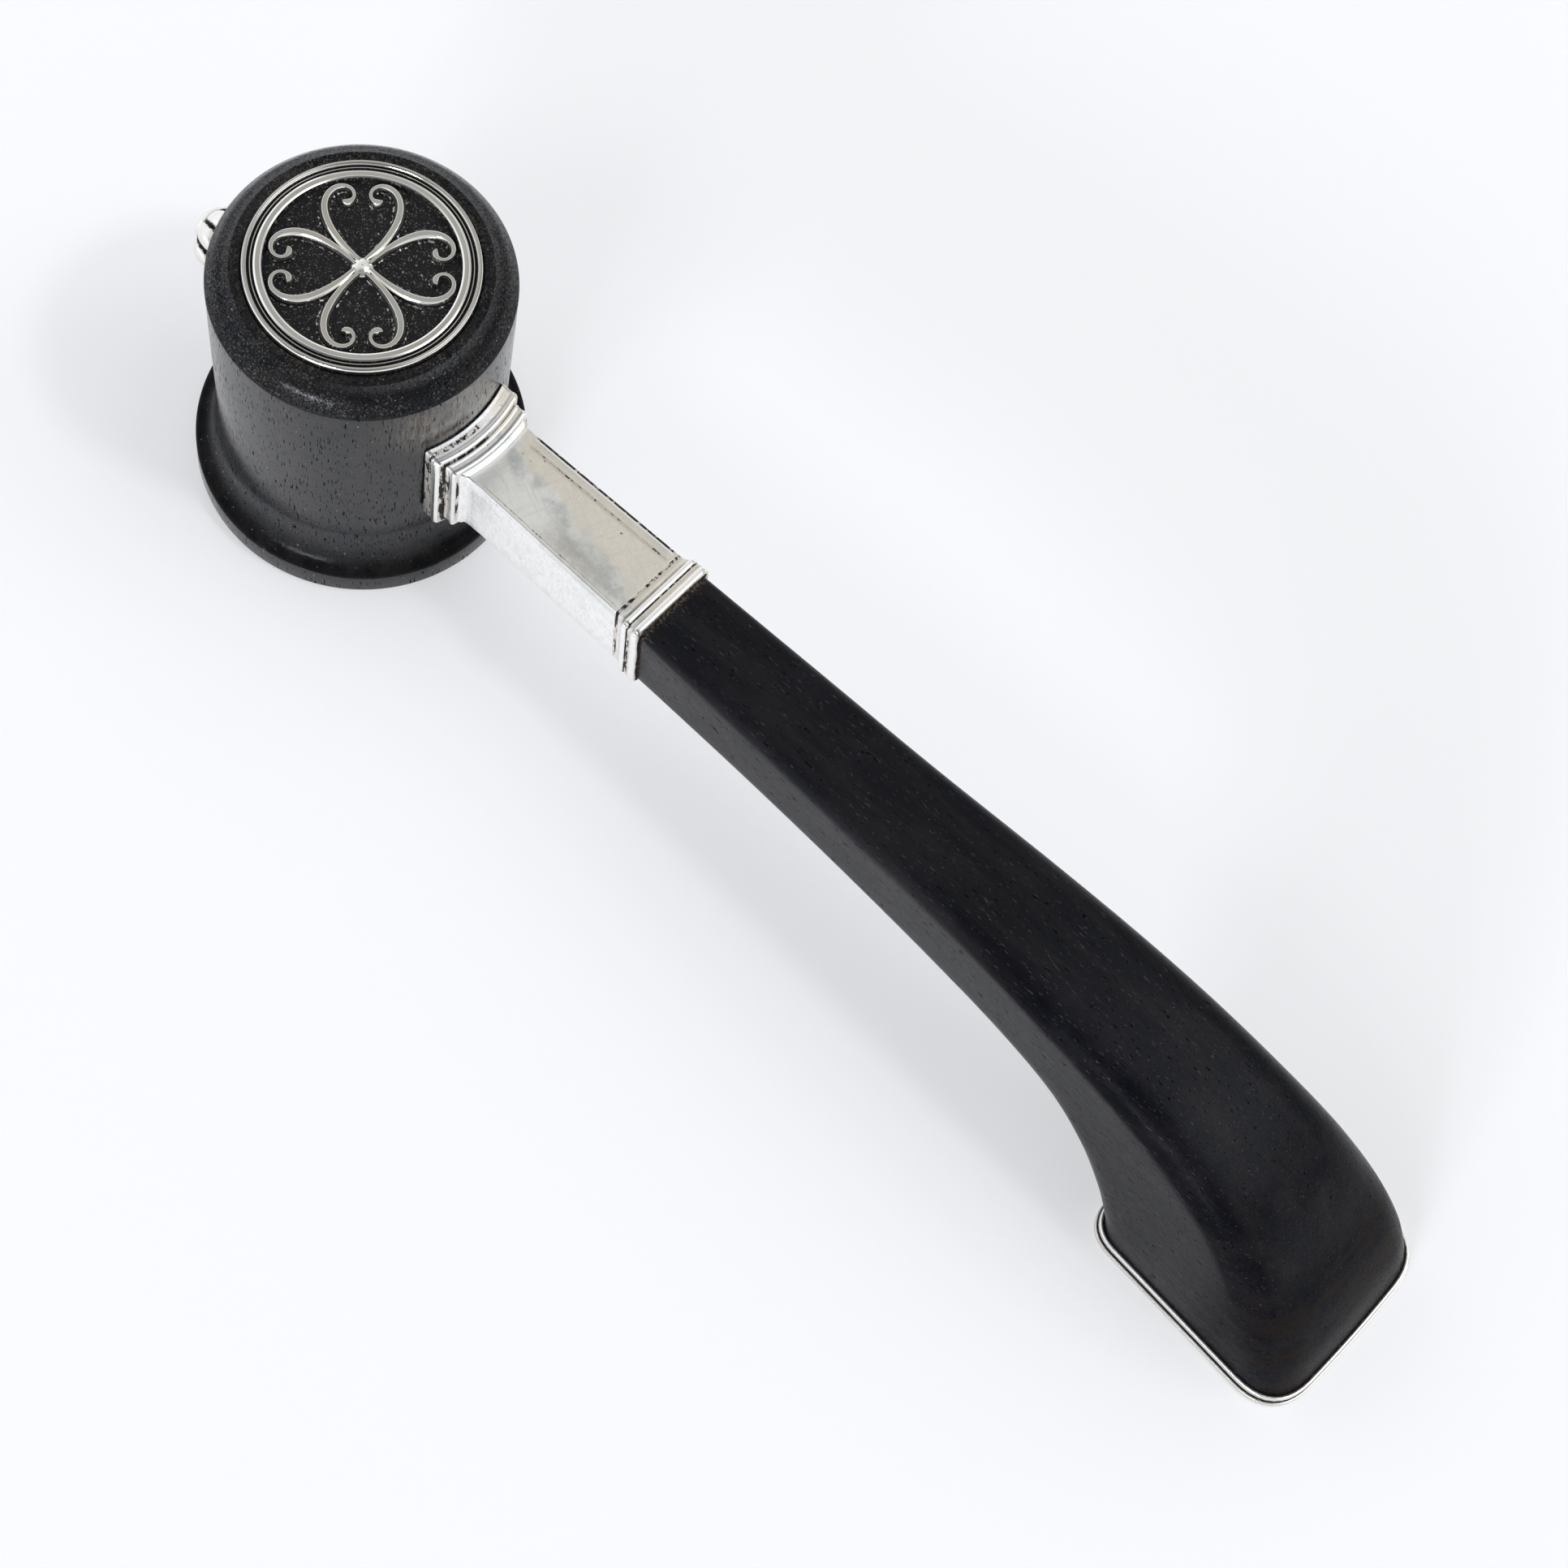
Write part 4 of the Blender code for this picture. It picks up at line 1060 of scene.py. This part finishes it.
knobSilver = silverMaterial("knob silver, polished", knobLook)
lobes = joinedLofts("knobLobes", [lobeRings()])
repeatPiece(lobes, knob["lobes"], 0.0, knobSilver)
coreOutline = [(u * mm, v * mm, mark) for u, v, mark in roundedOutline(knob["core"], 6)]
core = turnedPiece("knobCore", coreOutline, knob["coreSteps"])
core.data.materials.append(knobSilver)
outward = Matrix.Translation(knob["centre"]) @ Matrix.Rotation(-math.pi / 2.0, 4, "Y")
for piece in (lobes, core):
    piece.data.transform(outward)
    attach(piece, "root")
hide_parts("finial")
print("knob made")

# studio: camera, pale floor and soft light

studio = {
    "cameraAim": Vector((0.09538, 0.00538, 0.0)),
    "cameraDistance": 0.61956,
    "cameraTurn": -62.51,        # direction, height and roll in degrees
    "cameraRise": 67.722,
    "cameraRoll": 16.425,
    "lens": 83.85,
    "floorSize": 6.0,
    "floorDrop": 0.05 * mm,
    "floorColour": (0.58, 0.585, 0.59),
    "floorGlow": (0.366, 0.364, 0.367),
    "sky": (0.485, 0.49, 0.50),
    "horizon": (0.85, 0.86, 0.88),
    "horizonEdge": (0.06, 0.3),
    "panelCore": 0.35,           # share of a light source's width with its full colour
    # soft light sources: direction and height in degrees, width in degrees, colour
    "panels": [
        (175.0, 0.0, 80.0, (0.98, 1.0, 1.03)),        # pale wall
        (34.0, 55.0, 25.0, (2.8, 2.85, 3.0)),         # glow round the key lamp
        (117.0, 66.0, 42.0, (0.70, 0.695, 0.68)),     # ceiling
        (-66.0, 46.0, 42.0, (0.13, 0.135, 0.15)),     # dark corner behind the camera
        (-64.0, 76.0, 26.0, (0.2, 0.2, 0.215)),       # dark beam overhead
        (-130.0, 8.0, 36.0, (1.1, 1.15, 1.25)),       # window
        (-83.0, 16.0, 6.5, (34.0, 35.0, 38.0)),       # two small bluish panes below the dark corner
        (-71.0, 14.5, 6.5, (34.0, 35.0, 38.0)),
        (58.0, 66.0, 17.0, (1.6, 1.65, 1.8)),         # lighter part of the ceiling
    ],
    # lamps: direction and height in degrees, strength, width in degrees
    "lamps": {"keyLamp": (14.0, 57.0, 0.47, 6.0), "fillLamp": (-91.5, 45.0, 0.30, 16.0)},
}


def pointing(turn, rise):
    turn, rise = math.radians(turn), math.radians(rise)
    return Vector((math.cos(turn) * math.cos(rise), math.sin(turn) * math.cos(rise), math.sin(rise)))


def placeCamera():
    back, roll = pointing(studio["cameraTurn"], studio["cameraRise"]), math.radians(studio["cameraRoll"])
    side = (-back).cross(Vector((0.0, 0.0, 1.0))).normalized()
    up = side.cross(-back)
    sideRolled = side * math.cos(roll) + up * math.sin(roll)
    upRolled = up * math.cos(roll) - side * math.sin(roll)
    camera = bpy.data.objects.new("camera", bpy.data.cameras.new("camera"))
    camera.data.lens = studio["lens"]
    camera.data.sensor_width = 36.0
    camera.data.clip_start = 0.01
    place = Matrix((sideRolled, upRolled, back)).transposed().to_4x4()
    place.translation = studio["cameraAim"] + back * studio["cameraDistance"]
    camera.matrix_world = place
    bpy.context.scene.collection.objects.link(camera)
    bpy.context.scene.camera = camera


def layFloor():
    half = studio["floorSize"] / 2.0
    corners = [(x * half, y * half, 0.0) for x, y in ((-1, -1), (1, -1), (1, 1), (-1, 1))]
    floor = meshPiece("floor", corners, [(0, 1, 2, 3)])
    material, _ = startMaterial("pale floor", {
        "Base Color": (*studio["floorColour"], 1.0), "Roughness": 0.7, "Specular IOR Level": 0.2,
        "Emission Color": (*studio["floorGlow"], 1.0), "Emission Strength": 1.0})
    floor.data.materials.append(material)
    floor.location.z = -studio["floorDrop"]


def lightSky():
    world = bpy.data.worlds.new("soft sky")
    bpy.context.scene.world = world
    world.use_nodes = True
    tree = world.node_tree
    direction = addNode(tree, "ShaderNodeTexCoord").outputs["Generated"]
    height = addNode(tree, "ShaderNodeSeparateXYZ", {"Vector": direction}).outputs["Z"]
    colour = blendColours(between(height, *studio["horizonEdge"]), studio["horizon"], studio["sky"])
    for turn, rise, width, glow in studio["panels"]:
        facing = addNode(tree, "ShaderNodeVectorMath", {0: direction, 1: pointing(turn, rise)},
                         operation="DOT_PRODUCT")
        edge, core = (math.cos(math.radians(share * width)) for share in (1.0, studio["panelCore"]))
        colour = blendColours(between(facing.outputs["Value"], edge, core), colour, glow)
    tree.links.new(colour, tree.nodes["Background"].inputs["Color"])


def lightLamps():
    for name, (turn, rise, strength, width) in studio["lamps"].items():
        toward = pointing(turn, rise)
        lamp = bpy.data.objects.new(name, bpy.data.lights.new(name, "SUN"))
        lamp.data.energy = strength
        lamp.data.angle = math.radians(width)
        lamp.location = studio["cameraAim"] + toward
        lamp.rotation_euler = toward.to_track_quat("Z", "Y").to_euler()
        lamp.visible_glossy = False
        bpy.context.scene.collection.objects.link(lamp)


placeCamera()
layFloor()
lightSky()
lightLamps()
bpy.context.scene.view_settings.view_transform = "Standard"
print("studio ready")
